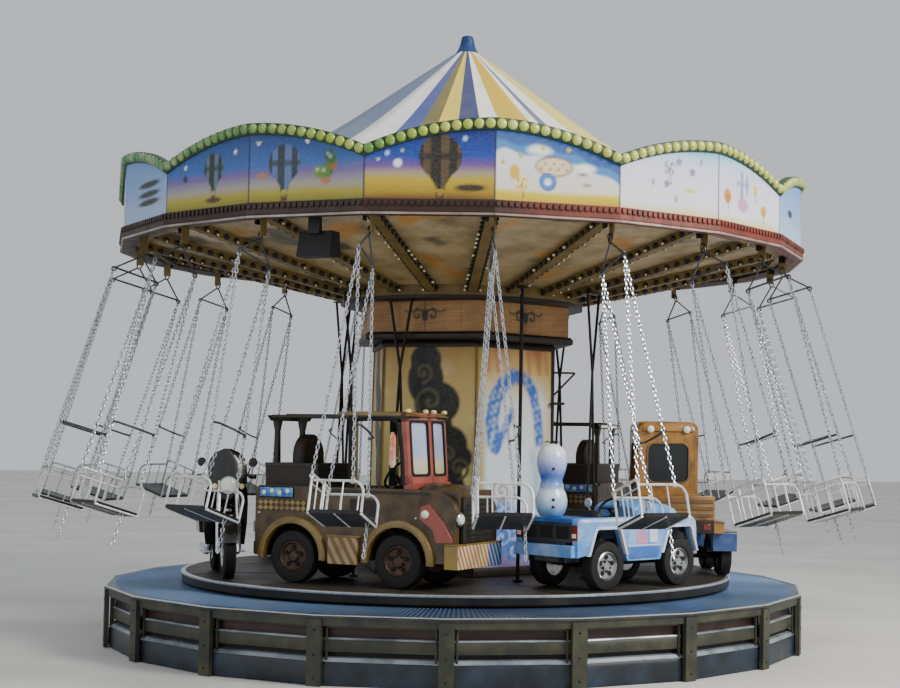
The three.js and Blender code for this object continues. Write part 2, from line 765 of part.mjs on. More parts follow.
function chair() {
  const seatTop = -hangLength;
  const low = seatTop - seatThickness / 2;
  const armHeightAt = seatTop + armAbove;
  const backHeightAt = seatTop + backAbove;
  const back = chairForward - chairDepth / 2;
  const front = chairForward + chairDepth / 2;
  const half = chairWidth / 2;
  const line = half - frameTube / 2; // middle of the side frames
  const seat = box(vec(back, -half, seatTop - seatThickness), vec(front, half, seatTop));
  const sides = bothSides((side) => {
    const y = side * line;
    return [
      tube([vec(back + 10, y, low), vec(back + 10, y, armHeightAt), vec(front - 75, y, armHeightAt),
        vec(front - 28, y, armHeightAt - 25), vec(front - 10, y, armHeightAt - 75), vec(front - 10, y, low)],
      frameTube, vec(0, 1, 0)),
      box(
        vec(back + 1, y - frameTube / 2 + 1, low),
        vec(back + frameTube - 1, y + frameTube / 2 - 1, backHeightAt),
      ),
      box(
        vec(sideBarPlace, y - barThickness / 2, low),
        vec(sideBarPlace + barThickness, y + barThickness / 2, armHeightAt),
      ),
    ];
  });
  const backRail = box(
    vec(back, -line, backHeightAt - frameTube / 2), vec(back + frameTube, line, backHeightAt + frameTube / 2),
  );
  const backBars = bothSides((side) => {
    const y = side * backBarPlace;
    return box(
      vec(back + 4, y - barThickness / 2, low),
      vec(back + 4 + barThickness, y + barThickness / 2, backHeightAt),
    );
  });
  const spreaderEnds = bothSides((side) => vec(0, side * spreaderHalf, -spreaderDrop));
  const apex = vec(0, 0, -40);
  const spreader = [
    tube([spreaderEnds[0], spreaderEnds[1]], spreaderThickness, vec(1, 0, 0)),
    tube([spreaderEnds[0], apex, spreaderEnds[1]], spreaderThickness, vec(1, 0, 0), threeSidedSection),
  ];
  const chains = bothSides((side) => {
    const head = vec(0, side * spreaderHalf, -spreaderDrop);
    const feet = [vec(back + 10, side * line, backHeightAt), vec(front - 85, side * line, armHeightAt)];
    return feet.map((foot) => tube([head, foot], chainThickness, vec(1, 0, 0), threeSidedSection));
  });
  const eyeHole = pinRadius + fit + 0.05;
  const strap = box(vec(-10, -20, -60), vec(10, 20, 24));
  const hole = bar(vec(-30, 0, 0), vec(30, 0, 0), eyeHole / Math.cos(Math.PI / 6), 6);
  const eye = cut(strap, [hole]);
  return fuse([seat, ...sides, backRail, ...backBars, ...spreader, ...chains, eye]);
}

const chairGeometry = chair();
copies(sideCount, (i) => {
  const place = new THREE.Group();
  place.rotation.z = radians(i * sideTurn);
  rotor.add(place);
  const name = `swing_chair_${String(i + 1).padStart(2, "0")}`;
  const mesh = addMesh(place, name, chairGeometry, galvanised);
  mesh.position.set(0, -pinCircle, pinHeight);
  mesh.rotation.x = radians(-flyAngle);
});

export default ride;
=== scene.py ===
import random
from math import asin, cos, degrees, floor, pi, radians, sin, sqrt
import bmesh
import bpy
import numpy as np
from mathutils import Matrix, Vector


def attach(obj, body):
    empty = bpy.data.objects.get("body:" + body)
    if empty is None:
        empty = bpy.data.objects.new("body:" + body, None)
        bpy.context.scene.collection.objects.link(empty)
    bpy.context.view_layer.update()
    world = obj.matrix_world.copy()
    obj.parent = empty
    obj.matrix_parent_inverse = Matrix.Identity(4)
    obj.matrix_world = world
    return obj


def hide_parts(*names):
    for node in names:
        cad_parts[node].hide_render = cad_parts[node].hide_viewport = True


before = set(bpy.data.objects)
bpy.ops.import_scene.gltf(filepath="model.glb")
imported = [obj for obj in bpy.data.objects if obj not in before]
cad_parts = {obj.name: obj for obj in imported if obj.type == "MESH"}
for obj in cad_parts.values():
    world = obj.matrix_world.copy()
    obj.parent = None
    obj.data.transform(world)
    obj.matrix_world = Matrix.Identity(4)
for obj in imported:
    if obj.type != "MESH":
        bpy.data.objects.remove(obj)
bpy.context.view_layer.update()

# Metres, +Z up, -Y is the front. The crown has twenty sides, and what repeats on it is
# placed by a number of sides counted from the front towards +X.
plan = {
    "sides": 20, "crownRadius": 2.75, "deckRadius": 2.797, "deckTurn": -5.4,
    "deckTop": 0.46, "platformTop": 0.55, "platformRadius": 2.211,
    "corniceBottom": 3.066, "corniceHeight": 0.105, "cusp": 3.487, "peak": 3.671,
    "trimHeight": 0.08, "armRim": 3.11, "armRimRadius": 2.645, "armSlope": 0.229,
    "drumTurn": 4.4, "drumRadius": 0.918, "drumBottom": 2.42, "drumTop": 2.68,
    "columnTop": 0.784, "columnBottom": 0.806, "clearance": 0.0003,
}
sideTurn = 360 / plan["sides"]
sides = range(plan["sides"])
halfTurn = radians(sideTurn / 2)
ahead = (1, 0, 0)


def polar(radius, angle, height):
    turn = radians(angle)
    return Vector((radius * sin(turn), -radius * cos(turn), height))


def ink(code):
    # A colour written as six hex digits, as Blender's linear values, deepened for the soft light.
    parts = [int(code[i:i + 2], 16) / 255 for i in (0, 2, 4)]
    return tuple((p / 12.92 if p < 0.04045 else ((p + 0.055) / 1.055) ** 2.4) ** 1.3 for p in parts)


# Shapes

class Shape:
    # A piece in the making: points, faces and the name of each face's paint, where nothing
    # stands for the first one.
    def __init__(self, place=None):
        self.points = []
        self.faces = []
        self.paints = []
        self.place = place or Matrix()

    def add(self, points, faces, paint=None):
        first = len(self.points)
        self.points += [self.place @ Vector(p) for p in points]
        self.faces += [[first + k for k in face] for face in faces]
        self.paints += [paint] * len(faces)

    def loft(self, rows, paint=None, loop=False):
        width, count = len(rows[0]), len(rows)
        faces = []
        for i in range(count if loop else count - 1):
            a, b = i * width, (i + 1) % count * width
            for j in range(width):
                k = (j + 1) % width
                faces.append([a + j, b + j, b + k, a + k])
        if not loop:
            last = (count - 1) * width
            faces += [list(range(width)), [last + j for j in range(width)][::-1]]
        self.add([p for row in rows for p in row], faces, paint)

    def box(self, low, high, paint=None):
        corners = [(low[0], low[1]), (high[0], low[1]), (high[0], high[1]), (low[0], high[1])]
        self.loft([[(x, y, z) for x, y in corners] for z in (low[2], high[2])], paint)

    def boxes(self, *rows):
        for x0, y0, z0, x1, y1, z1, paint in rows:
            self.box((x0, y0, z0), (x1, y1, z1), paint)

    def prism(self, outline, low, high, paint=None):
        # A side outline of (x, z) points, carried across y.
        self.loft([[(x, y, z) for x, z in outline] for y in (low, high)], paint)

    def pad(self, low, high, corner, layers, paint=None, steps=4):
        # A rectangle in plan with round corners; layers are (height, inset) pairs.
        (x0, y0), (x1, y1) = low, high
        self.loft([[(x, y, z) for x, y in roundedBox((x0 + i, y0 + i), (x1 - i, y1 - i), corner, steps)]
                   for z, i in layers], paint)

    def tube(self, points, radius, sideCount=8, paint=None, loop=False):
        # A round tube along a bent line. radius is one number, or one for each point.
        points = [Vector(p) for p in points]
        count = len(points)
        radii = radius if isinstance(radius, list) else [radius] * count
        rows, across = [], None
        for i, point in enumerate(points):
            before = points[i - 1] if loop or i else point
            after = points[(i + 1) % count] if loop or i < count - 1 else point
            along = (after - before).normalized()
            if across is None:
                across = along.orthogonal().normalized()
            across = (across - along * across.dot(along)).normalized()
            other = along.cross(across)
            turns = [2 * pi * j / sideCount for j in range(sideCount)]
            rows.append([point + (across * cos(t) + other * sin(t)) * radii[i] for t in turns])
        self.loft(rows, paint, loop)

    def rod(self, start, end, radius, sideCount=8, paint=None):
        self.tube([start, end], radius, sideCount, paint)

    def turned(self, profile, sideCount=24, paint=None, at=(0, 0, 0), facing=(0, 0, 1), turn=0):
        # Turned round its axis from (radius, height) points; an open profile ends on the axis.
        toward = Vector(facing).to_track_quat("Z", "Y").to_matrix()
        points, faces, rings = [], [], []
        for radius, height in profile:
            if radius < 1e-6:
                rings.append([len(points)])
                points.append(Vector((0, 0, height)))
                continue
            rings.append([len(points) + j for j in range(sideCount)])
            points += [polar(radius, turn + 360 * j / sideCount, height) for j in range(sideCount)]
        pairs = list(zip(rings, rings[1:]))
        if len(rings[0]) > 1:
            pairs.append((rings[-1], rings[0]))
        for a, b in pairs:
            for j in range(sideCount):
                k = (j + 1) % sideCount
                ring = [a[j % len(a)], a[k % len(a)], b[k % len(b)], b[j % len(b)]]
                faces.append(list(dict.fromkeys(ring)))
        self.add([Vector(at) + toward @ p for p in points], faces, paint)


def curve(points, steps=4):
    # A smooth line through a few points.
    points = [Vector(p) for p in points]
    ends = [2 * points[0] - points[1]] + points + [2 * points[-1] - points[-2]]
    line = []
    for i in range(len(points) - 1):
        a, b, c, d = ends[i:i + 4]
        for j in range(steps):
            t = j / steps
            line.append(0.5 * (2 * b + (c - a) * t + (2 * a - 5 * b + 4 * c - d) * t * t
                               + (3 * b - 3 * c + d - a) * t ** 3))
    return line + [points[-1]]


def arc(x, z, radius, start, end, steps):
    turns = [radians(start + (end - start) * i / steps) for i in range(steps + 1)]
    return [(x + radius * cos(t), z + radius * sin(t)) for t in turns]


def fullTurn(count):
    # Even steps round a circle.
    return np.linspace(0, 2 * pi, count + 1)[:-1]


def roundedBox(low, high, corner, steps=4):
    # The outline of a rectangle with round corners, as (x, z) points.
    (x0, z0), (x1, z1) = low, high
    centres = [(x1 - corner, z1 - corner, 0), (x0 + corner, z1 - corner, 90),
               (x0 + corner, z0 + corner, 180), (x1 - corner, z0 + corner, 270)]
    return [p for x, z, start in centres for p in arc(x, z, corner, start, start + 90, steps)]


def meshOf(name, shape, paints):
    # paints is one material, or a dictionary of the materials that the faces name.
    named = paints if isinstance(paints, dict) else {"": paints}
    order = {paint: i for i, paint in enumerate(named)}
    mesh = bpy.data.meshes.new(name)
    mesh.from_pydata(shape.points, [], shape.faces)
    for material in named.values():
        mesh.materials.append(material)
    mesh.polygons.foreach_set("material_index", [order[p] if p else 0 for p in shape.paints])
    work = bmesh.new()
    work.from_mesh(mesh)
    bmesh.ops.recalc_face_normals(work, faces=work.faces)
    work.to_mesh(mesh)
    work.free()
    return mesh


def addObject(name, mesh):
    made = bpy.data.objects.new(name, mesh)
    bpy.context.scene.collection.objects.link(made)
    return made


def makePiece(name, shape, paints=None, node=None, body="rotor", bevel=0, segments=2, angle=35):
    # shape may also be a finished mesh, which brings its own materials.
    mesh = shape if isinstance(shape, bpy.types.Mesh) else meshOf(name, shape, paints)
    mesh.polygons.foreach_set("use_smooth", [True] * len(mesh.polygons))
    mesh.set_sharp_from_angle(angle=radians(angle))
    piece = addObject(name, mesh)
    if bevel:
        edge = piece.modifiers.new("soft edges", "BEVEL")
        edge.width = bevel
        edge.segments = segments
        edge.limit_method = "ANGLE"
        edge.angle_limit = radians(40)
        edge.harden_normals = False
    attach(piece, body)
    if node:
        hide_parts(node)
    return piece


# Node trees

def plug(socket, value):
    # Links a socket or a node's first output, or sets a value; a colour of three gets its alpha.
    if isinstance(value, bpy.types.Node):
        value = value.outputs[0]
    if isinstance(value, bpy.types.NodeSocket):
        socket.id_data.links.new(value, socket)
    elif socket.type == "RGBA" and len(value) == 3:
        socket.default_value = (*value, 1)
    else:
        socket.default_value = value


def put(tree, kind, sockets=(), **settings):
    # Adds a node of the tree's own kind, or one whose kind is written out, with its inputs.
    if "Node" not in kind:
        kind = ("GeometryNode" if tree.type == "GEOMETRY" else "ShaderNode") + kind
    made = tree.nodes.new(kind)
    for key, value in settings.items():
        setattr(made, key, value)
    for key, value in dict(sockets).items():
        plug(made.inputs[key], value)
    return made


def newTree(name, **inputs):
    tree = bpy.data.node_groups.new(name, "GeometryNodeTree")
    for label, kind, way in (("Geometry", "Geometry", "INPUT"), *((k, v, "INPUT")
            for k, v in inputs.items()), ("Geometry", "Geometry", "OUTPUT")):
        tree.interface.new_socket(label, in_out=way, socket_type="NodeSocket" + kind)
    return tree, put(tree, "NodeGroupInput").outputs


def endTree(tree, instances, paint):
    real = put(tree, "RealizeInstances", {0: instances})
    painted = put(tree, "SetMaterial", {"Geometry": real, "Material": paint})
    put(tree, "NodeGroupOutput", {0: painted})
    return tree


def aroundTree():
    # Copies of one piece turned round the middle of the ride.
    tree, given = newTree("copiesAround", Count="Int", First="Float", Step="Float", Paint="Material")
    points = put(tree, "Points", {"Count": given["Count"]})
    turn = put(tree, "ShaderNodeMath", {0: put(tree, "InputIndex"), 1: given["Step"], 2: given["First"]},
        operation="MULTIPLY_ADD")
    spin = put(tree, "ShaderNodeCombineXYZ", {"Z": turn})
    return endTree(tree, put(tree, "InstanceOnPoints", {"Points": points, "Instance": given["Geometry"],
        "Rotation": spin}), given["Paint"])


def scatterTree():
    # One small piece set on every point, its Z along the point's facing.
    tree, given = newTree("onPoints", Unit="Object", Paint="Material")
    unit = put(tree, "ObjectInfo", {"Object": given["Unit"]}).outputs["Geometry"]
    facing = put(tree, "InputNamedAttribute", {"Name": "facing"},
        data_type="FLOAT_VECTOR").outputs["Attribute"]
    turn = put(tree, "FunctionNodeAlignRotationToVector", {"Vector": facing}, axis="Z")
    return endTree(tree, put(tree, "InstanceOnPoints", {"Points": given["Geometry"], "Instance": unit,
        "Rotation": turn}), given["Paint"])


def chainTree():
    # Links of bent wire along lines, every second one turned on its side.
    tree, given = newTree("chainLinks", Pitch="Float", Length="Float", Width="Float", Wire="Float",
        Paint="Material")
    line = put(tree, "MeshToCurve", {0: given["Geometry"]})
    steps = put(tree, "ResampleCurve", {"Curve": line, "Length": given["Pitch"]}, mode="LENGTH")
    oblong = put(tree, "CurvePrimitiveQuadrilateral", {"Width": given["Length"], "Height": given["Width"]})
    half = put(tree, "ShaderNodeMath", {0: given["Width"], 1: 0.49}, operation="MULTIPLY")
    bent = put(tree, "FilletCurve", {"Curve": oblong, "Radius": half, "Count": 1}, mode="POLY")
    wire = put(tree, "CurvePrimitiveCircle", {"Resolution": 4, "Radius": given["Wire"]})
    link = put(tree, "CurveToMesh", {"Curve": bent, "Profile Curve": wire})
    aim = put(tree, "FunctionNodeAlignRotationToVector", {"Vector": put(tree, "InputTangent")}, axis="X")
    odd = put(tree, "ShaderNodeMath", {0: put(tree, "InputIndex"), 1: 2.0}, operation="MODULO")
    quarter = put(tree, "ShaderNodeMath", {0: odd, 1: pi / 2, 2: pi / 4}, operation="MULTIPLY_ADD")
    twist = put(tree, "ShaderNodeCombineXYZ", {"X": quarter})
    turn = put(tree, "FunctionNodeRotateRotation", {"Rotation": aim, "Rotate By": twist},
        rotation_space="LOCAL")
    return endTree(tree, put(tree, "InstanceOnPoints", {"Points": steps, "Instance": link,
        "Rotation": turn}), given["Paint"])


trees = {"around": aroundTree(), "scatter": scatterTree(), "chain": chainTree()}


def grow(name, mesh, tree, **values):
    # Runs a tree over a mesh and gives back its result as a plain mesh.
    host = addObject(name + "Host", mesh)
    modifier = host.modifiers.new(name, "NODES")
    modifier.node_group = trees[tree]
    for item in modifier.node_group.interface.items_tree:
        if item.in_out == "INPUT" and item.name in values:
            modifier[item.identifier] = values[item.name]
    host.update_tag()
    bpy.context.view_layer.update()
    graph = bpy.context.evaluated_depsgraph_get()
    result = bpy.data.meshes.new_from_object(host.evaluated_get(graph), depsgraph=graph)
    result.name = name
    bpy.data.objects.remove(host)
    return result


def around(name, shape, paint, count=plan["sides"], first=0.0, step=sideTurn):
    mesh = meshOf(name + "Unit", shape, paint)
    return grow(name, mesh, "around", Count=count, First=radians(first), Step=radians(step), Paint=paint)


def scatter(name, places, unitShape, paint):
    # places are (point, facing) pairs.
    mesh = bpy.data.meshes.new(name + "Points")
    mesh.from_pydata([p for p, facing in places], [], [])
    facings = mesh.attributes.new("facing", "FLOAT_VECTOR", "POINT")
    facings.data.foreach_set("vector", [c for p, facing in places for c in facing])
    unit = addObject(name + "Unit", meshOf(name + "Unit", unitShape, paint))
    result = grow(name, mesh, "scatter", Unit=unit, Paint=paint)
    bpy.data.objects.remove(unit)
    return result


def chainMesh(name, lines, paint, pitch=0.032, length=0.046, width=0.027, wire=0.0042):
    mesh = bpy.data.meshes.new(name + "Lines")
    edges, first = [], 0
    for line in lines:
        edges += [(first + i, first + i + 1) for i in range(len(line) - 1)]
        first += len(line)
    mesh.from_pydata([p for line in lines for p in line], edges, [])
    return grow(name, mesh, "chain", Pitch=pitch, Length=length - 2 * wire, Width=width - 2 * wire,
        Wire=wire, Paint=paint)


# Materials. place is where a point lies on its object.

def treeOf(*values):
    # The node tree that a node or a socket among the values belongs to.
    return next(v.id_data for v in values if isinstance(v, bpy.types.bpy_struct))


def calc(operation, *values):
    return put(treeOf(*values), "Math", dict(enumerate(values)), operation=operation)


def blend(share, first, second):
    return put(treeOf(share, first, second), "Mix", {0: share, 6: first, 7: second},
        data_type="RGBA").outputs[2]


def spread(value, low, high, newLow=0.0, newHigh=1.0):
    return put(value.id_data, "MapRange", {0: value, 1: low, 2: high, 3: newLow, 4: newHigh})


def cloudiness(place, scale, detail=3.0, stretch=None, rough=0.55):
    if stretch:
        place = put(place.id_data, "Mapping", {"Vector": place, "Scale": stretch})
    return put(place.id_data, "TexNoise", {"Vector": place, "Scale": scale, "Detail": detail,
        "Roughness": rough})


def bands(value, stops, smooth=False):
    ramp = put(value.id_data, "ValToRGB", {"Fac": value})
    ramp.color_ramp.interpolation = "LINEAR" if smooth else "CONSTANT"
    parts = ramp.color_ramp.elements
    for i, (at, code) in enumerate(stops):
        part = parts[i] if i < 2 else parts.new(at)
        part.position = at
        part.color = (*ink(code), 1)
    return ramp


def axisOf(place, axis):
    return put(place.id_data, "SeparateXYZ", {0: place}).outputs[axis]


def surface(name, colour, worn=None, wear=0.5, grain=7.0, rough=0.5, metal=0.0, coat=0.0, bump=0.12,
        bumpGrain=120.0, picture=None, dust=0.0, **fixed):
    # A finish with blotches of wear, uneven gloss and a fine grain. picture gives a colour
    # socket that takes the place of the plain colour.
    material = bpy.data.materials.new(name)
    material.use_nodes = True
    tree = material.node_tree
    shader = tree.nodes["Principled BSDF"].inputs
    place = put(tree, "TexCoord").outputs["Object"]
    patches = cloudiness(place, grain, 5.0)
    base = picture(place) if picture else ink(colour)
    final = blend(spread(patches, 0.42, 0.68, 0.0, wear), base, ink(worn or colour))
    if dust:
        lying = spread(axisOf(put(tree, "NewGeometry").outputs["Normal"], "Z"), 0.3, 1.0, 0.0, dust)
        speck = calc("MULTIPLY", lying, cloudiness(place, 25.0, 4.0))
        final = blend(speck, final, ink("b5ab98"))
    plug(shader["Base Color"], final)
    plug(shader["Roughness"], spread(patches, 0.3, 0.7, rough - 0.07, rough + 0.07))
    shader["Metallic"].default_value = metal
    if bump:
        fine = cloudiness(place, bumpGrain, 2.0)
        plug(shader["Normal"], put(tree, "Bump", {"Height": fine, "Strength": bump, "Distance": 0.002}))
    if coat:
        shader["Coat Weight"].default_value = coat
        shader["Coat Roughness"].default_value = 0.12
    for key, value in fixed.items():
        shader[key.replace("_", " ")].default_value = value
    return material


def paintwork(place):
    # Colours brushed on in the mesh, a little uneven.
    hue = put(place.id_data, "Attribute", attribute_name="paint").outputs["Color"]
    strokes = cloudiness(place, 38.0, 3.0, (1, 1, 2.5))
    return blend(spread(strokes, 0.35, 0.75, 0.0, 0.06), hue, (0.72, 0.68, 0.6))


def sidesRound(place):
    # The angle round the ride, from 0 to 1 starting at the back, and the distance from the middle.
    parts = put(place.id_data, "SeparateXYZ", {0: place}).outputs
    turn = calc("ARCTAN2", parts["X"], calc("MULTIPLY", parts["Y"], -1.0))
    share = calc("ADD", calc("DIVIDE", turn, 2 * pi), 0.5)
    flat = calc("SQRT", calc("ADD", *[calc("POWER", parts[a], 2.0) for a in "XY"]))
    return share, flat, parts["Z"]


def checks(first, second, size):
    # Slanted squares.
    def draw(place):
        turned = put(place.id_data, "Mapping", {"Vector": place, "Rotation": (0, radians(45), 0)})
        ways = [calc("FLOORED_MODULO", calc("FLOOR", calc("DIVIDE", axisOf(turned, a), size)), 2.0)
            for a in "XZ"]
        return blend(calc("ABSOLUTE", calc("SUBTRACT", *ways)), ink(first), ink(second))
    return draw


# Painting: a canvas is a panel being painted, u across and v up in metres, with a colour for each of its
# points

def soft(distance, edge=0.012):
    return np.clip(0.5 - distance / edge, 0, 1)


def ripple(u, v, seed, size=0.1):
    # Smooth uneven values from about -1 to 1.
    chance = random.Random(seed)
    total = np.zeros(u.shape)
    for i in range(7):
        way = chance.uniform(0, pi)
        wave = chance.uniform(0.6, 2.2) / size
        shift = chance.uniform(0, 6.3)
        total += np.sin((u * cos(way) + v * sin(way)) * wave * 3 + shift)
    return total / 4


class Canvas:
    def __init__(self, u, v, value, stops):
        self.u, self.v = u, v
        hues = np.array([ink(code) for at, code in stops])
        ats = [at for at, code in stops]
        self.hues = np.stack([np.interp(value, ats, hues[:, c]) for c in range(3)], axis=1)

    def lay(self, mask, code):
        self.hues = self.hues + (np.array(ink(code)) - self.hues) * np.clip(mask, 0, 1)[:, None]

    def disc(self, code, x, y, wide, high=None, edge=0.012, share=1.0):
        high = high or wide
        far = np.hypot((self.u - x) / wide, (self.v - y) / high) - 1
        self.lay(soft(far * min(wide, high), edge) * share, code)

    def oblong(self, code, x, y, wide, high, edge=0.01, share=1.0):
        self.lay(soft(np.maximum(np.abs(self.u - x) - wide, np.abs(self.v - y) - high), edge) * share, code)

    def stroke(self, code, line, width, edge=0.01, share=1.0):
        near = np.full(self.u.shape, 9.0)
        for (x0, y0), (x1, y1) in zip(line, line[1:]):
            dx, dy = x1 - x0, y1 - y0
            t = np.clip(((self.u - x0) * dx + (self.v - y0) * dy) / (dx * dx + dy * dy + 1e-9), 0, 1)
            near = np.minimum(near, np.hypot(self.u - x0 - t * dx, self.v - y0 - t * dy))
        self.lay(soft(near - width / 2, edge) * share, code)

    def discs(self, spots, code, wide=0.014, high=None):
        for x, y in spots:
            self.disc(code, x, y, wide, high)

    def stars(self, spots, code="f6f4e8", size=0.02):
        for x, y in spots:
            part = np.abs((np.arctan2(self.u - x, self.v - y) * 5 / (2 * pi) + 0.5) % 1 - 0.5) * 2
            self.lay(soft(np.hypot(self.u - x, self.v - y) - size * (1 - 0.55 * part), 0.01), code)

    def clouds(self, spots, code="f4f4f2"):
        for x, y, size in spots:
            for dx, dy, r in ((-0.9, 0, 0.5), (-0.3, 0.25, 0.62), (0.4, 0.2, 0.55), (1.0, 0, 0.4),
                    (0.1, -0.1, 0.7)):
                self.disc(code, x + dx * size, y + dy * size, r * size, r * size * 0.62, size * 0.5, 0.85)

    def bunch(self, x, y, size, codes, seed):
        # A bunch of toy balloons.
        chance = random.Random(seed)
        for i, code in enumerate(codes):
            bx = x + chance.uniform(-1, 1) * size * 1.5
            by = y + (i % 3) * size * 1.3 + chance.uniform(-0.3, 0.3) * size
            self.stroke("4a453e", [(bx, by), (x, y - size * 2.4)], 0.004, 0.006, 0.7)
            self.disc(code, bx, by, size, size * 1.2)
            self.disc("ffffff", bx - size * 0.35, by + size * 0.4, size * 0.25, edge=0.02, share=0.6)

    def balloon(self, x, y, size, dark, light):
        # A striped balloon with a basket.
        u, v = self.u, self.v
        bag = soft((np.hypot((u - x) / size, (v - y) / (size * 1.05)) - 1) * size)
        neck = soft(np.abs(u - x) - (v - (y - size * 1.75)) * 0.62,
            0.01) * (v > y - size * 1.55) * (v < y - size * 0.45)
        whole = np.maximum(bag, neck)
        gore = np.sin(np.arcsin(np.clip((u - x) / (size * 1.02), -1, 1)) * 7)
        for mask, code in ((1, dark), (np.clip(gore * 4, 0, 1), light),
                (soft(np.abs(v - y) - size * 0.16) * 0.8, dark)):
            self.lay(whole * mask, code)
        for side in (-1, 1):
            rope = [(x + side * size * 0.22, y - size * 1.45), (x + side * size * 0.14, y - size * 1.9)]
            self.stroke("3d352b", rope, 0.005, 0.006)
        self.oblong("6b4a2c", x, y - size * 2.02, size * 0.2, size * 0.15)

    def wheel(self, x, y, size, codes):
        # A pinwheel on a stick.
        far = np.hypot(self.u - x, self.v - y)
        turn = (np.arctan2(self.v - y, self.u - x) / (2 * pi) + far / size * 0.22) % 1
        for i, code in enumerate(codes):
            self.disc(code, x, y, size, share=(np.floor(turn * 8).astype(int) % len(codes)) == i)
        self.stroke("6d5a44", [(x, y), (x + size * 0.3, y - size * 2.2)], 0.007)

    def airship(self, x, y, size):
        # A spotted airship with a round cabin.
        for wide, high, code in ((1.08, 0.56, "75583f"), (1.0, 0.48, "e2d3b4")):
            self.disc(code, x, y, size * wide, size * high)
        self.discs([(x + size * 0.25 * k, y + size * 0.15 * (-1) ** k) for k in range(-3, 4)], "9a7a58",
            size * 0.07)
        for wide, code in ((0.5, "2f5ea0"), (0.42, "4f8fd4"), (0.2, "e9eef2")):
            self.disc(code, x - size * 0.35, y - size * 0.86, size * wide)

    def skyEdge(self, code, tall):
        # Sky along the scalloped edge, on a board with its peak at the left end.
        fall = (trimLine(0) - trimLine(1)) * (self.u / sideWidth) ** 2
        edge = trimLine(0) - fall - plan["trimHeight"] / 2 - boardFoot
        self.lay(soft(edge - tall + ripple(self.u, self.v, 13, 0.14) * 0.02 - self.v, 0.02), code)


class Picture:
    # Painted boards: each is a closed board whose front is a fine grid with its own colours.
    def __init__(self):
        self.shape = Shape()
        self.colours = []

    def board(self, pointAt, inward, span, topAt, cells, depth, painter):
        columns, rows = cells
        u = np.linspace(*span, columns + 1)
        gridU = np.repeat(u, rows + 1)
        gridV = np.concatenate([np.linspace(0, topAt(x), rows + 1) for x in u])
        points = [pointAt(a, b) for a, b in zip(gridU, gridV)]
        stride = rows + 1
        faces = [[i * stride + j, (i + 1) * stride + j, (i + 1) * stride + j + 1, i * stride + j + 1]
            for i in range(columns) for j in range(rows)]
        rim = [i * stride for i in range(columns + 1)]
        rim += [columns * stride + j for j in range(1, stride)]
        rim += [i * stride + rows for i in range(columns - 1, -1, -1)]
        rim += range(rows - 1, 0, -1)
        first, count = len(points), len(rim)
        points += [points[k] + inward * depth for k in rim]
        faces += [[rim[i], rim[(i + 1) % count], first + (i + 1) % count, first + i] for i in range(count)]
        faces.append([first + i for i in range(count)])
        self.shape.add(points, faces)
        self.colours += [tuple(c) for c in painter(gridU, gridV).hues] + [ink("8a8172")] * count

    def finish(self, name, node):
        mesh = meshOf(name, self.shape, boardPaint)
        hues = mesh.color_attributes.new("paint", "FLOAT_COLOR", "POINT")
        hues.data.foreach_set("color", [c for hue in self.colours for c in (*hue, 1.0)])
        makePiece(name, mesh, node=node)


# Finishes

galvanised = surface("galvanised", "c9ccd0", "8e9297", 0.6, 30, 0.36, metal=0.85)
castDark = surface("dark steel", "2a2724", "5b5148", 0.5, 20, 0.45, metal=0.6)
brightEdge = surface("bright edge", "d9dcdc", "9ea3a6", 0.5, 25, 0.32, metal=0.7)
deckBlue = surface("deck plate", "3c577e", "5f7690", 0.5, 3, 0.36, metal=0.4, dust=0.1)
ribBlue = surface("deck ribs", "7f9cc0", "8c98a0", 0.6, 2.5, 0.34, metal=0.5)
frameGreen = surface("frame green", "3c4136", "6f6a50", 0.5, 6, 0.5)
# Pale ledges and slat edges: a painted highlight, the bright light on the slats' top edges.
ledgeHighlight = surface("ledge painted highlight", "a9b0b6", "5c6468", 0.8, 4, 0.4, metal=0.3)
linePale = surface("cornice line", "b4a8a2", "7c6a60", 0.7, 5, 0.4, metal=0.2)
slatBrown = surface("slat brown", "4e2f26", "2f2220", 0.6, 8, 0.5)
slatBlue = surface("slat blue", "1d2934", "3f5468", 0.6, 4, 0.42)
# Near black on the bays' back wall: painted shade in the recess between the slats.
recessPaintedShade = surface("recess", "1b1716", "33241f", 0.5, 6, 0.7)
platformPlate = surface("platform plate", "272523", "4a4540", 0.7, 4, 0.55, metal=0.3, dust=0.2)
armPaint = surface("arm paint", "8f7c4c", "5c4628", 0.6, 5, 0.5)
trimGreen = surface("trim green", "2f5236", "4c7444", 0.6, 14, 0.5)


def capShadeAndLightPicture(place):
    # Painted shade and light: sea green on the left of the front stands in for shade there, yellow-green
    # towards the right for the lit side.
    share, flat, height = sidesRound(place)
    return bands(share, [(0.0, "8fae58"), (0.3, "4a8c66"), (0.4, "6f9a52"), (0.445, "b4c24c"),
        (0.453, "6c9a54"), (0.475, "b9c653"), (0.52, "c6cc74"), (0.66, "bcc268"), (0.74, "7f9a4c"),
        (0.8, "4f9a60"), (1.0, "8fae58")], True)


def corniceShadeAndLightPicture(place):
    # Painted shade and light: dark brown on the left of the front stands in for shade there, brick red
    # towards the right for the lit side.
    share, flat, height = sidesRound(place)
    return bands(share, [(0.0, "5a3428"), (0.4, "47301f"), (0.5, "523424"), (0.53, "8e4c3e"),
        (0.66, "8e4c3e"), (0.75, "5a3428"), (1.0, "5a3428")], True)


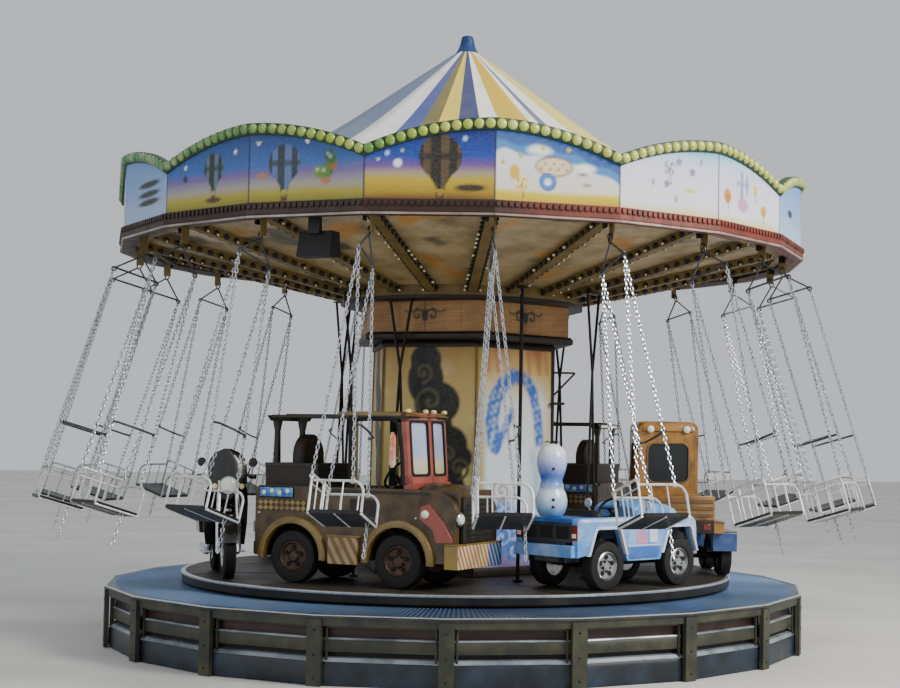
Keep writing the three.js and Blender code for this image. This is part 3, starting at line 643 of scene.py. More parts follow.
corniceRed = surface("cornice red", "6c3428", "33231c", 0.5, 10, 0.5, picture=corniceShadeAndLightPicture)
capLime = surface("lamp caps", "c0cc66", "e6e8b0", 0.35, 11, 0.25, coat=0.4, picture=capShadeAndLightPicture)
bulbPale = surface("bulbs", "e6dcbc", "cdbd96", 0.4, rough=0.18, bump=0)
socketBlack = surface("sockets", "1d1a18", "3a332d", 0.5, rough=0.5)
boardPaint = surface("painted boards", "ffffff", rough=0.6, coat=0.05, picture=paintwork, wear=0.0,
    bump=0.08)
capBlue = surface("cap blue", "33578f", "1f365c", 0.7, 18, 0.5)
cornerGold = surface("column corners", "8f7434", "5a4526", 0.5, 10, 0.5)
skirtDark = surface("skirting", "2b1d18", "4a332a", 0.5, 10, 0.5)
speakerBlack = surface("speaker black", "19191b", "2c2c2f", 0.5, 40, 0.6)


def ceilingPicture(place):
    share, flat, height = sidesRound(place)
    grain = cloudiness(place, 5.0, 5.0, rough=0.65)
    wood = bands(grain, [(0.3, "a09074"), (0.45, "bcac8c"), (0.6, "cebea0"), (0.75, "d6c8b0")], True)
    golden = spread(flat, 1.2, 2.3, 0.45, 0.0)
    warm = blend(golden, wood, ink("bea666"))
    teal = spread(cloudiness(place, 1.9, 2.0), 0.58, 0.64, 0.0, 0.75)
    orange = spread(cloudiness(place, 2.3, 1.0, (1, 1, 3)), 0.6, 0.68, 0.0, 0.7)
    tinted = blend(teal, warm, ink("3a5654"))
    return blend(orange, tinted, ink("d49c3c"))


ceilingBoards = surface("ceiling boards", "b07a35", "6a5236", 0.35, 3, 0.45, picture=ceilingPicture)

# Stripes of the cloth from left to right over half of the tent, their widths in sides. The olive stripe
# before the pale yellow is painted shade: the shaded half of a yellow stripe that crosses a gore's edge.
tentStripes = [("4f6ca8", 1.3), ("6f84a4", 1.54), ("f2f2ee", 0.84), ("2452ac", 0.44), ("857a34", 0.33),
    ("ead660", 0.37), ("223f86", 0.43), ("f4f2e8", 0.43), ("dcc030", 0.69), ("f4f2ea", 0.29),
    ("7c88a0", 0.19), ("f3f1ea", 0.47), ("e6d884", 2.1), ("f2f2ee", 0.58),]


def tentPicture(place):
    # The stripes run once round the half that faces the camera and then again.
    share, flat, height = sidesRound(place)
    half = calc("FRACT", calc("ADD", calc("MULTIPLY", share, 2.0), 0.5228))
    total = sum(width for code, width in tentStripes)
    at, stops = 0.0, []
    for code, width in tentStripes:
        stops.append((at / total, code))
        at += width
    cloth = bands(half, stops)
    dirt = cloudiness(place, 2.2, 5.0, (1, 1, 1.6))
    stained = blend(spread(dirt, 0.45, 0.75, 0.0, 0.25), cloth, ink("a99f86"))
    low = spread(height, 3.235, 3.6, 0.3, 0.0)
    return blend(low, stained, ink("8a8574"))


tentCloth = surface("tent cloth", "f0dfa0", rough=0.75, wear=0.0, bump=0.25, bumpGrain=420,
    picture=tentPicture, Sheen_Weight=0.2)


def dress(node, material):
    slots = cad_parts[node].data.materials
    slots.clear()
    slots.append(material)


print("finishes made")

# Camera, light and floor

view = {
    "distance": 4.667, "height": 0.578, "round": 0.0715, "yaw": -0.0512, "pitch": 0.0461, "roll": -0.0184,
    "focal": 1557.4, "frame": 900, "shiftX": -0.1, "shiftY": 0.0289,
}


def setCamera():
    camera = bpy.data.cameras.new("camera")
    camera.sensor_width = 36
    camera.lens = 36 * view["focal"] / view["frame"]
    camera.shift_x = view["shiftX"]
    camera.shift_y = view["shiftY"]
    camera.clip_end = 200
    holder = addObject("camera", camera)
    turn = (Matrix.Rotation(-view["round"], 3, "Z") @ Matrix.Rotation(view["roll"], 3, "Y")
            @ Matrix.Rotation(view["pitch"], 3, "X") @ Matrix.Rotation(view["yaw"], 3, "Z"))
    right, forward, up = (turn.col[i] for i in range(3))
    axes = Matrix((right, up, -forward)).transposed().to_4x4()
    radius = plan["crownRadius"]
    spot = Vector((-view["distance"] * sin(view["round"]), -view["distance"] * cos(view["round"]),
        view["height"])) * radius
    holder.matrix_world = Matrix.Translation(spot) @ axes
    bpy.context.scene.camera = holder


studio = {"sky": 0.72, "keyPower": 2100, "fillPower": 160, "floor": "dedcd7"}


def addLamp(name, spot, target, size, power, tint=(1, 1, 1)):
    lamp = bpy.data.lights.new(name, "AREA")
    lamp.size = size
    lamp.energy = power
    lamp.color = tint
    holder = addObject(name, lamp)
    holder.location = spot
    holder.rotation_euler = (Vector(target) - Vector(spot)).to_track_quat("-Z", "Y").to_euler()


def lightStage():
    world = bpy.data.worlds.new("studio")
    bpy.context.scene.world = world
    world.use_nodes = True
    background = world.node_tree.nodes["Background"]
    background.inputs["Color"].default_value = (0.86, 0.9, 0.96, 1)
    background.inputs["Strength"].default_value = studio["sky"]
    addLamp("key", (9, -8, 8.5), (0, 0, 2), 5, studio["keyPower"], (1, 0.97, 0.92))
    addLamp("fill", (-9, -8, 4), (0, 0, 1.5), 7, studio["fillPower"], (0.92, 0.95, 1))
    slab = Shape()
    slab.box((-60, -60, -0.2), (60, 60, -0.004))
    paint = surface("floor", studio["floor"], "bdbab4", 0.4, 0.6, 0.8, bump=0.05)
    ground = addObject("floor", meshOf("floor", slab, paint))


setCamera()
lightStage()
print("camera and light set")

# Crown boards

crown = {"boardDepth": 0.02, "cell": 0.0105, "trimDepth": 0.06, "capRadius": 0.034, "capsPerScallop": 24}
boardFoot = plan["corniceBottom"] + plan["corniceHeight"] + plan["clearance"]
sideWidth = 2 * plan["crownRadius"] * sin(halfTurn)


def trimLine(place):
    fromPeak = abs(place - 2 * round(place / 2))
    return plan["peak"] - (plan["peak"] - plan["cusp"]) * fromPeak ** 2


def onSide(place, radius, height):
    side = floor(place + 1e-9)
    return polar(radius, side * sideTurn, height).lerp(
        polar(radius, (side + 1) * sideTurn, height), place - side)


def skyBoard(stops, seed, *things):
    # Each of the things is a way of painting and what it takes.
    def paint(u, v):
        canvas = Canvas(u, v, v + ripple(u, v * 3, seed, 0.5) * 0.012, stops)
        for way, *what in things:
            getattr(canvas, way)(*what)
        canvas.lay(soft(np.minimum(u, sideWidth - u) - 0.006, 0.006) * 0.8, "35445e")
        return canvas
    return paint


dusk = [(0.0, "84642c"), (0.05, "b89c20"), (0.13, "c8b438"), (0.17, "b4a690"), (0.22, "8460a8"),
    (0.28, "1c58b4"), (0.45, "043c92")]
dawn = [(0.0, "979636"), (0.07, "bcb048"), (0.12, "b4b0a8"), (0.19, "8c7ab0"), (0.25, "4c7cc0"),
    (0.45, "2a5c98")]
milky = [(0.0, "dcd4a0"), (0.06, "dfdfe6"), (0.3, "d8d6e8"), (0.4, "bcd4e6"), (0.46, "84b8d4")]
creamy = [(0.0, "ccb00c"), (0.055, "d8c814"), (0.085, "e2dcd0"), (0.3, "e2e2ec"), (0.46, "cfdfea")]
plainBlue = [(0.0, "b9c6dc"), (0.2, "9ab6dc"), (0.46, "7fa6d4")]


greens = ["3f7a3a", "5c9440", "2f6e44", "86a242", "b07a3a", "3c8250", "6f9c44"]
grandBalloon = skyBoard(dusk, 1, ("discs", [(0.22, 0.235)], "f2f4f6", 0.028),
    ("discs", [(0.15, 0.3), (0.66, 0.4)], "c4dcf2", 0.016), ("stars",
    [(0.25, 0.32), (0.62, 0.34), (0.09, 0.26)], "d8e6a0", 0.014),
    ("balloon", 0.5, 0.28, 0.14, "2c2218", "6b5a38"), ("discs", [(0.7, 0.075)], "4a3622", 0.1, 0.024))
roundedBalloons = skyBoard(dawn, 2, ("stars", [(0.07, 0.4), (0.44, 0.4)]),
    ("bunch", 0.58, 0.19, 0.036, greens, 5), ("discs", [(0.1, 0.18), (0.58, 0.13)], "c08a6a", 0.04, 0.02),
    ("balloon", 0.27, 0.26, 0.12, "3c4a58", "7288b4"))
slimBalloon = skyBoard(
    dawn, 9, ("stars", [(0.2, 0.3), (0.72, 0.36)]), ("discs", [(0.2, 0.22)], "2f4a66", 0.024),
    ("balloon", 0.5, 0.27, 0.1, "2f4636", "70869c"), ("discs", [(0.5, 0.05)], "6b4a2a", 0.08, 0.02))
airship = skyBoard(creamy, 3, ("skyEdge", "4f90c4", 0.13), ("skyEdge", "2a68ac", 0.07),
    ("clouds", [(0.3, 0.34, 0.06), (0.62, 0.24, 0.05)]), ("discs",
    [(0.05, 0.25), (0.17, 0.3), (0.32, 0.36), (0.5, 0.36)], "c9c04c", 0.016),
    ("discs", [(0.13, 0.19)], "d9b83a", 0.035, 0.05), ("airship", 0.4, 0.24, 0.12),
    ("wheel", 0.18, 0.12, 0.045, ["e0be3a", "efe4b0"]), ("discs", [(0.6, 0.2), (0.63, 0.13)], "9a8f6a",
    0.03, 0.01))
paleWheel = skyBoard(
    milky, 4, ("stars", [(0.5, 0.36), (0.62, 0.3), (0.4, 0.2)], "8d8ba8", 0.034),
    ("discs", [(0.28, 0.2), (0.48, 0.1), (0.7, 0.38)], "9d98a8", 0.012, 0.026),
    ("discs", [(0.6, 0.17)], "cfd08a", 0.05, 0.018), ("wheel", 0.42, 0.31, 0.05, ["8f93b4", "d5d6e2"]))
lilacBalloon = skyBoard(milky, 5, ("balloon", 0.33, 0.29, 0.085, "9fa4cc", "dcd8ea"),
    ("wheel", 0.12, 0.18, 0.05, ["d9a02c", "b9832a"]), ("wheel", 0.5, 0.27, 0.04, ["c9c24a", "e6dca0"]),
    ("wheel", 0.62, 0.13, 0.04, ["d9a83c", "c8b04a"]), ("discs", [(0.33, 0.14)], "c9a4c8", 0.07, 0.05))
louvres = skyBoard(plainBlue, 6, ("discs", [(0.5, 0.25), (0.5, 0.18), (0.5, 0.12)], "3a4634", 0.21, 0.024))
notched = skyBoard(plainBlue, 10, ("discs", [(0.4, 0.2)], "2f3a4a", 0.08, 0.03))
brightBalloons = skyBoard(
    dawn, 7, ("bunch", 0.3, 0.2, 0.04, ["b8402c", "d9a02f", "3f7fc0", "4c8a37", "9a6ab4"], 8),
    ("stars", [(0.6, 0.3), (0.72, 0.2), (0.52, 0.14)]), ("balloon", 0.62, 0.27, 0.08, "8d3a2c", "d9b04a"))
breezy = skyBoard(milky, 8, ("wheel", 0.28, 0.24, 0.07, ["b8402c", "f1efe6"]),
    ("wheel", 0.6, 0.26, 0.06, ["3f7fc0", "f1efe6"]), ("clouds", [(0.45, 0.34, 0.05)], "a9cfe2"))
boardScenes = {
    -4: louvres, -3: slimBalloon, -2: roundedBalloons, -1: grandBalloon, 0: airship, 1: paleWheel,
    2: lilacBalloon, 3: notched, 4: paleWheel, 5: brightBalloons, 6: airship, 7: grandBalloon,
    8: lilacBalloon, 9: breezy, -10: roundedBalloons, -9: breezy, -8: paleWheel, -7: grandBalloon,
    -6: brightBalloons, -5: breezy,
}


def crownBoards():
    for number in range(5):
        picture = Picture()
        for k in range(4):
            side = number * 4 - 1 + k
            middle = -polar(1, (side + 0.5) * sideTurn, 0)

            def pointAt(u, v, side=side):
                return onSide(side + min(u / sideWidth, 0.99999), plan["crownRadius"], boardFoot + v)

            def topAt(u, side=side):
                return trimLine(side + u / sideWidth) - plan["trimHeight"] / 2 - boardFoot

            columns = int(sideWidth / crown["cell"])
            scene = boardScenes[(side + 10) % 20 - 10]
            picture.board(pointAt, middle, (0.0012, sideWidth - 0.0012), topAt, (columns, 36),
                crown["boardDepth"], scene)
        picture.finish(f"crown_board_{number + 1}", f"rounding_board_{number + 1}")


crownBoards()
print("crown boards painted")


def crownTrim():
    # The green band along the scallops, its front a little rounded, and its lamp caps.
    outer, deep = plan["crownRadius"] + 0.02, crown["trimDepth"]
    steps, half = 16, plan["trimHeight"] / 2
    section = [(deep, 0.001 - half), (0.008, 0.001 - half), (0, 0.012 - half), (0, half - 0.012),
        (0.008, half), (deep, half)]
    band = Shape()
    rows = [[onSide(i / steps, outer - inset, trimLine(i / steps) + up) for inset, up in section]
            for i in range(plan["sides"] * steps)]
    band.loft(rows, loop=True)
    makePiece("crown_band", band, trimGreen, "crown_trim")

    fine = 120
    places = [i / fine for i in range(plan["sides"] * fine + 1)]
    points = [onSide(p, outer, trimLine(p)) for p in places]
    lengths = np.concatenate([[0], np.cumsum([(b - a).length for a, b in zip(points, points[1:])])])
    count = crown["capsPerScallop"] * plan["sides"] // 2
    spots = []
    for j in range(count):
        place = float(np.interp((j + 0.5) / count * lengths[-1], lengths, places))
        facing = polar(1, (floor(place) + 0.5) * sideTurn, 0)
        spots.append((onSide(place, outer, trimLine(place)) - facing * 0.004, facing))
    radius = crown["capRadius"]
    cap = Shape()
    cap.turned([(0, 0), (radius, 0), (radius, 0.008), (radius * 0.9, 0.015), (radius * 0.72, 0.021),
        (radius * 0.38, 0.026), (0, 0.027)], 14)
    makePiece("crown_lamp_caps", scatter("crownCaps", spots, cap, capLime))


def corniceTeeth():
    top = plan["corniceBottom"] + plan["corniceHeight"]
    face = (plan["crownRadius"] + 0.018) * cos(halfTurn)
    width = 2 * (plan["crownRadius"] + 0.018) * sin(halfTurn)
    teeth, line = Shape(), Shape()
    pitch = width / 20
    for i in range(20):
        x = -width / 2 + (i + 0.5) * pitch
        teeth.loft([[(x - w, -face - d, z), (x + w, -face - d, z), (x + w, -face + 0.02, z),
            (x - w, -face + 0.02, z)] for w, d, z in ((0.007, 0.001, top - 0.052),
            (0.013, 0.012, top - 0.04), (0.013, 0.012, top - 0.016), (0.009, 0.004, top - 0.006))])
    line.loft([[(x, -face - 0.004, plan["corniceBottom"] + 0.002),
        (x, -face - 0.004, plan["corniceBottom"] + 0.016), (x, -face + 0.02, plan["corniceBottom"] + 0.016),
        (x, -face + 0.02, plan["corniceBottom"] + 0.002)] for x in (-width / 2 + 0.001, width / 2 - 0.001)])
    first = sideTurn / 2
    makePiece("cornice_teeth", around("teeth", teeth, corniceRed, first=first))
    makePiece("cornice_line", around("line", line, linePale, first=first))
    dress("cornice", corniceRed)


crownTrim()
corniceTeeth()

# Tent

tent = {
    "rim": 2.7294, "sag": 0.02, "stepsRound": 160, "wall": 0.006,
    "profile": [(2.7294, 3.235), (2.0, 3.57), (1.5, 3.833), (1.1, 4.085), (0.6, 4.446), (0.3, 4.666),
        (0.15, 4.776), (0.071, 4.834)],
}


def tentSheet():
    line = curve([(r, 0, z) for r, z in tent["profile"]], 6)
    cloth = Shape()
    rows = []
    for i in range(tent["stepsRound"]):
        angle = 360 * i / tent["stepsRound"]
        gore = sin(pi * (angle % sideTurn) / sideTurn)
        row = []
        for p in line:
            share = p.x / tent["rim"]
            flat = 1 - (1 - cos(halfTurn)) * gore * 0.9
            drop = tent["sag"] * gore * share * (1 - share) * 4
            row.append(polar(p.x * flat, angle, p.z - 0.002 - drop))
        rows.append(row)
    width = len(line)
    count = len(rows)
    faces = [[i * width + j, (i + 1) % count * width + j, (i + 1) % count * width + j + 1,
        i * width + j + 1] for i in range(count) for j in range(width - 1)]
    cloth.add([p for row in rows for p in row], faces)
    piece = makePiece("tent_cloth", cloth, tentCloth, "tent_cover", angle=60)
    wall = piece.modifiers.new("cloth", "SOLIDIFY")
    wall.thickness = tent["wall"]
    wall.offset = -1


def mastSleeve():
    # The tapered sleeve over the mast's end.
    sleeve = Shape()
    sleeve.turned([(0, 4.8425), (0.0712, 4.8425), (0.0712, 4.834), (0.096, 4.81), (0.098, 4.813),
        (0.09, 4.824), (0.078, 4.845), (0.067, 4.87), (0.059, 4.9), (0.053, 4.93), (0.048, 4.949),
        (0.043, 4.956), (0.032, 4.9605), (0, 4.9608)], 40)
    makePiece("mast_sleeve", sleeve, capBlue, "tent_cap")


tentSheet()
mastSleeve()
dress("mast", galvanised)
print("tent stretched")

# Arms and ceiling

arms = {"bulbs": 19, "firstBulb": 1.02, "lastBulb": 2.53, "bulbRadius": 0.01, "bulbShare": 0.3}


def armUnderside(radius):
    return plan["armRim"] - plan["armSlope"] * (plan["armRimRadius"] - radius)


def armBulbs():
    spots = []
    for side in sides:
        turn = Matrix.Rotation(radians(side * sideTurn), 4, "Z")
        for hand in (-1, 1):
            facing = turn @ Vector((hand * 0.85, 0, -0.5))
            for j in range(arms["bulbs"]):
                share = j / (arms["bulbs"] - 1)
                radius = arms["firstBulb"] + (arms["lastBulb"] - arms["firstBulb"]) * share
                height = armUnderside(radius) + 0.022
                spots.append((turn @ Vector((hand * 0.036, -radius, height)), facing.normalized()))
    socket, bulb = Shape(), Shape()
    socket.turned([(0, -0.004), (0.02, -0.004), (0.022, 0.012), (0.016, 0.02), (0, 0.02)], 8)
    radius = arms["bulbRadius"]
    bulb.turned([(0, 0.012), (radius * 0.7, 0.016), (radius, 0.026), (radius * 0.75, 0.036), (0, 0.041)], 7)
    makePiece("arm_sockets", scatter("armSockets", spots, socket, socketBlack))
    chance = random.Random(4)
    fitted = [spot for spot in spots if chance.random() < arms["bulbShare"]]
    makePiece("arm_bulbs", scatter("armBulbs", fitted, bulb, bulbPale))


def armBrackets():
    # Black boxes at the hangers.
    bracket = Shape()
    z = armUnderside(2.606)
    bracket.loft([[(x, y, z + h) for x, y in ((-0.05, -2.645), (0.05, -2.645), (0.05, -2.56),
        (-0.05, -2.56))] for h in (0.002, 0.03)])
    bracket.box((-0.042, -2.63, z - 0.055), (-0.026, -2.58, z + 0.006))
    makePiece("hanger_plates", around("brackets", bracket, castDark), bevel=0.003)


armBulbs()
armBrackets()
dress("sweep_arms", armPaint)
dress("ceiling", ceilingBoards)
dress("loudspeaker", speakerBlack)
print("arms and ceiling made")

# Centre

centre = {"panelDepth": 0.022, "columnHigh": 1.829}


def sixCorner(k, radius, height):
    return polar(radius, plan["drumTurn"] + 60 * k, height)


def scrollLine(x, y, size, turns=1.4, flip=1, start=0.0):
    # A spiral that opens out from its middle.
    line = []
    for i in range(26):
        t = i / 25
        a = start + flip * t * turns * 2 * pi
        line.append((x + size * t * cos(a), y + size * t * sin(a)))
    return line


def columnGround(u, v, streak, stops):
    return Canvas(u, v, np.clip(v / centre["columnHigh"] + streak, 0, 1), stops)


def columnGolden(u, v):
    # A great dark scroll of leaves on an olive-gold ground.
    canvas = columnGround(u, v, ripple(u, v * 0.5, 11, 0.22) * 0.05, [
        (0, "b0948c"), (0.2, "d8bda4"), (0.36, "f0e8b4"), (0.6, "f0e4ac"), (0.85, "e0c894"), (1, "a47e4c")])
    canvas.lay(soft(ripple(u, v, 12, 0.16) * -0.3 - 0.18, 0.2) * 0.4, "c9a94a")
    for x, y, wide, high in ((0.36, 1.52, 0.15, 0.2), (0.46, 1.34, 0.19, 0.17), (0.42, 1.16, 0.17, 0.18),
            (0.55, 1.02, 0.17, 0.15), (0.64, 0.92, 0.12, 0.1), (0.54, 0.84, 0.14, 0.2),
            (0.58, 0.6, 0.13, 0.28), (0.6, 0.34, 0.16, 0.24), (0.36, 1.68, 0.13, 0.12)):
        canvas.disc("1e1610", x, y, wide, high, 0.02)
    for x, y, size, flip in ((0.4, 1.36, 0.13, 1), (0.33, 1.16, 0.1, -1), (0.56, 0.94, 0.09, 1),
            (0.65, 0.84, 0.09, -1), (0.34, 1.58, 0.08, -1), (0.5, 0.66, 0.07, 1)):
        canvas.stroke("6f6c4e", scrollLine(x, y, size, 1.5, flip, pi / 2), 0.024, 0.014)
    for x in (0.45, 0.53, 0.6):
        canvas.stroke("4a2f24", [(x, 0.55), (x + 0.01, 0.3), (x - 0.03, 0.16)], 0.016, 0.02, 0.6)
    return columnFrame(canvas)


def columnWhite(u, v):
    # A blue brushed arch over white, a swirl of blue below it and warm streaks above.
    canvas = columnGround(u, v, ripple(u, v * 0.7, 21, 0.2) * 0.04,
        [(0, "9a88b4"), (0.12, "b9b8dc"), (0.3, "d8e2ee"), (0.75, "e4e8e6"), (0.88, "dcc488"),
        (1, "b07836")])
    canvas.lay(soft(u - 0.09 - 0.02 * ripple(u, v, 25, 0.2), 0.08) * 0.9, "b5a240")
    canvas.lay(soft(0.7 - u + 0.02 * ripple(u, v, 26, 0.2), 0.08) * 0.6, "d3c27a")
    brushed = 0.85 + 0.45 * ripple(u, v, 22, 0.05)
    for line, width in (([(0.19, 1.02), (0.16, 1.2), (0.19, 1.38), (0.27, 1.5), (0.38, 1.56)], 0.13),
            ([(0.2, 0.98), (0.28, 1.12), (0.36, 1.28)], 0.07), ([(0.38, 1.56), (0.5, 1.55), (0.58, 1.44)],
            0.1), ([(0.58, 1.44), (0.63, 1.25), (0.65, 1.05)], 0.09)):
        canvas.stroke("2f78c8", line, width, 0.03, brushed)
    canvas.stroke("8cc4d8", [(0.58, 0.95), (0.62, 0.75), (0.6, 0.6)], 0.06, 0.05, 0.6)
    for x, y, size in ((0.3, 0.52, 0.1), (0.35, 0.4, 0.13), (0.28, 0.3, 0.12), (0.4, 0.2, 0.11),
            (0.2, 0.16, 0.09)):
        canvas.disc("3a7ac6", x, y, size, size * 0.8, 0.05, brushed)
        canvas.stroke("d6e4f2", scrollLine(x, y, size * 0.8, 1.3, 1), 0.016, 0.012, 0.7)
    canvas.stroke("a8746a", scrollLine(0.27, 0.66, 0.09, 1.6, -1), 0.022, 0.015, 0.8)
    for x, y in ((0.62, 0.24), (0.68, 0.36), (0.55, 0.3)):
        canvas.disc("cf9a6a", x, y, 0.05, 0.09, 0.05, 0.7)
    for x in (0.1, 0.2, 0.3, 0.44, 0.52, 0.63, 0.71):
        canvas.stroke("c4702c", [(x, 1.8), (x + 0.02, 1.6)], 0.035, 0.04, 0.7)
    return columnFrame(canvas)


def columnFrame(canvas):
    u, v = canvas.u, canvas.v
    edge = np.minimum(np.minimum(u, 0.795 - u), np.minimum(v, centre["columnHigh"] - v))
    canvas.lay(soft(edge - 0.014, 0.012), "5c4022")
    return canvas


def drumFace(emblem):
    # Planks with a pair of scrolls and a boss in the middle.
    middle, level = plan["drumRadius"] / 2, 0.13

    def paint(u, v):
        grain = np.clip(0.5 + ripple(u * 0.35, v * 3.2, 31, 0.05) * 0.28, 0, 1)
        canvas = Canvas(u, v, grain, [(0, "94744c"), (0.5, "b48e5c"), (1, "cba272")])
        for k in range(1, 6):
            canvas.oblong("5d3318", k * middle / 3, level, 0.0025, 0.2, 0.006, 0.7)
        for side in (-1, 1):
            canvas.stroke(emblem, scrollLine(middle + side * 0.06, level, 0.055, 1.3, side, pi / 2), 0.015)
            canvas.stroke(emblem, [(middle + side * x, y) for x, y in ((0.06, 0.185), (0.13, 0.15),
                (0.17, 0.17))], 0.012)
        canvas.disc(emblem, middle, level, 0.028, 0.05)
        return canvas
    return paint


def centreColumn():
    low = plan["platformTop"] + plan["clearance"]
    high = low + centre["columnHigh"]
    width = plan["columnTop"]
    picture = Picture()
    painters = {
        -1: columnWhite, 0: columnWhite, 1: columnWhite, 2: columnGolden, 3: columnWhite, 4: columnGolden,
        5: columnGolden,
    }
    for k in range(6):
        middle = -polar(1, plan["drumTurn"] + 60 * (k + 0.5), 0)

        def pointAt(u, v, k=k):
            share = v / centre["columnHigh"]
            radius = plan["columnBottom"] + (plan["columnTop"] - plan["columnBottom"]) * share
            return sixCorner(k, radius, low + v).lerp(sixCorner(k + 1, radius, low + v), u / width)

        picture.board(pointAt, middle, (0.001, width - 0.001), lambda u: centre["columnHigh"], (58, 134),
            centre["panelDepth"], painters[k])
    picture.finish("column_panels", "centre_column")
    corners, trim = Shape(), Shape()
    for k in range(6):
        foot, head = sixCorner(k, plan["columnBottom"] + 0.002, low), sixCorner(k,
            plan["columnTop"] + 0.002, high)
        corners.rod(foot, head, 0.009, 8)
    makePiece("column_corners", corners, cornerGold)
    for radius, z, tall in ((plan["columnBottom"] + 0.012, low, 0.07),
            (plan["columnTop"] + 0.012, high - 0.05, 0.05)):
        profile = [(radius - 0.02, z), (radius + 0.012, z), (radius + 0.012, z + tall * 0.6),
            (radius, z + tall), (radius - 0.02, z + tall)]
        trim.turned(profile, 6, turn=plan["drumTurn"])
    post = sixCorner(1, plan["columnTop"], 0)
    shelf = [post + Vector((x, 0, z)) for x, z in ((0.0, 2.16), (0.19, 2.16), (0.02, 1.98), (0.12, 1.92))]
    for a, b in ((0, 1), (1, 2)):
        trim.rod(shelf[a], shelf[b], 0.009, 6)
    trim.box(post + Vector((-0.01, -0.06, 1.9)), post + Vector((0.1, 0.02, 1.92)))
    trim.box(post + Vector((0.0, -0.02, low)), post + Vector((0.02, 0.02, 2.34)))
    makePiece("column_trim", trim, skirtDark, bevel=0.003)


def centreDrum():
    low, high = plan["drumBottom"] + 0.02, plan["drumTop"] + 0.002
    picture = Picture()
    width = plan["drumRadius"]
    for k in range(6):
        middle = -polar(1, plan["drumTurn"] + 60 * (k + 0.5), 0)

        def pointAt(u, v, k=k):
            return sixCorner(k, width, low + v).lerp(sixCorner(k + 1, width, low + v), u / width)

        emblem = "2f3b34" if k in (0, 2, 4) else "3a2a1c"
        picture.board(pointAt, middle, (0.0005, width - 0.0005), lambda u: high - low, (88, 25), 0.4,
            drumFace(emblem))
    picture.finish("drum_faces", "centre_drum")
    trim = Shape()
    outer = plan["drumRadius"] + 0.042
    bottom = plan["drumBottom"] - 0.0397
    trim.turned([(0, bottom), (outer - 0.008, bottom), (outer, bottom + 0.01), (outer, bottom + 0.042),
        (outer - 0.014, bottom + 0.05), (outer - 0.02, bottom + 0.06), (0, bottom + 0.06)], 6,
        turn=plan["drumTurn"])
    top = plan["drumTop"]
    trim.turned([(0, top), (0.992, top), (1.0, top + 0.008), (1.0, top + 0.03), (0, top + 0.03)], 20)
    makePiece("drum_trim", trim, skirtDark, bevel=0.002)


def platformDisc():
    top, low, radius = plan["platformTop"], 0.468, plan["platformRadius"]
    disc = Shape()
    disc.turned([(0.118, low), (radius - 0.02, low), (radius - 0.006, low + 0.014),
        (radius - 0.006, top - 0.016), (radius - 0.02, top - 0.002), (0.118, top - 0.002)], 96)
    makePiece("platform_disc", disc, platformPlate, "platform")
    rim = Shape()
    rim.turned([(radius - 0.012, top - 0.018), (radius - 0.003, top - 0.018), (radius, top - 0.013),
        (radius, top - 0.004), (radius - 0.004, top), (radius - 0.035, top), (radius - 0.035, top - 0.006),
        (radius - 0.012, top - 0.006)], 96)
    makePiece("platform_rim", rim, brightEdge)
    seam = Shape()
    seam.loft([[(x, -1.0, top - 0.003), (x, -2.16, top - 0.003), (x, -2.16, top - 0.0004),
        (x, -1.0, top - 0.0004)] for x in (-0.006, 0.006)])
    makePiece("platform_seams", around("seams", seam, castDark, 12, 15.0, 30.0))


centreColumn()
centreDrum()
platformDisc()
for node in [f"tie_rods_{i + 1}" for i in range(5)] + ["platform_pole"]:
    dress(node, castDark)
print("centre made")

# Base

base = {"rib": 0.012, "ribHeight": 0.003, "ribsPerSide": 24, "inner": 2.08, "thick": 0.028, "back": 2.69}


def baseDeck():
    top, bottom = plan["deckTop"], plan["deckTop"] - base["thick"]
    plate = Shape()
    radius = plan["deckRadius"]
    plate.turned([(base["inner"], bottom), (radius - 0.012, bottom), (radius - 0.012, top - 0.002),
        (base["inner"], top - 0.002)], 20, turn=plan["deckTurn"])
    makePiece("deck_plate", plate, deckBlue, "base_deck", body="base")
    nosing, line = Shape(), Shape()
    nosing.turned([(radius - 0.03, bottom + 0.004), (radius - 0.006, bottom + 0.004),
        (radius - 0.002, bottom + 0.009), (radius - 0.002, top - 0.006), (radius - 0.03, top - 0.006)], 20,
        turn=plan["deckTurn"])
    makePiece("deck_nosing", nosing, frameGreen, body="base")
    line.turned([(radius - 0.018, top - 0.006), (radius, top - 0.006), (radius, top - 0.001),
        (radius - 0.002, top), (radius - 0.018, top)], 20, turn=plan["deckTurn"])
    makePiece("deck_edge_line", line, brightEdge, body="base")
    rib = Shape()
    half, up = base["rib"] / 2, base["ribHeight"]
    rib.loft([[(-half, -r, top - 0.002), (half, -r, top - 0.002), (half * 0.6, -r, top - 0.002 + up),
        (-half * 0.6, -r, top - 0.002 + up)] for r in (base["inner"] + 0.01, 2.705)])
    count = 20 * base["ribsPerSide"]
    makePiece("deck_ribs", around("ribs", rib, ribBlue, count, plan["deckTurn"], 360 / count),
        body="base")


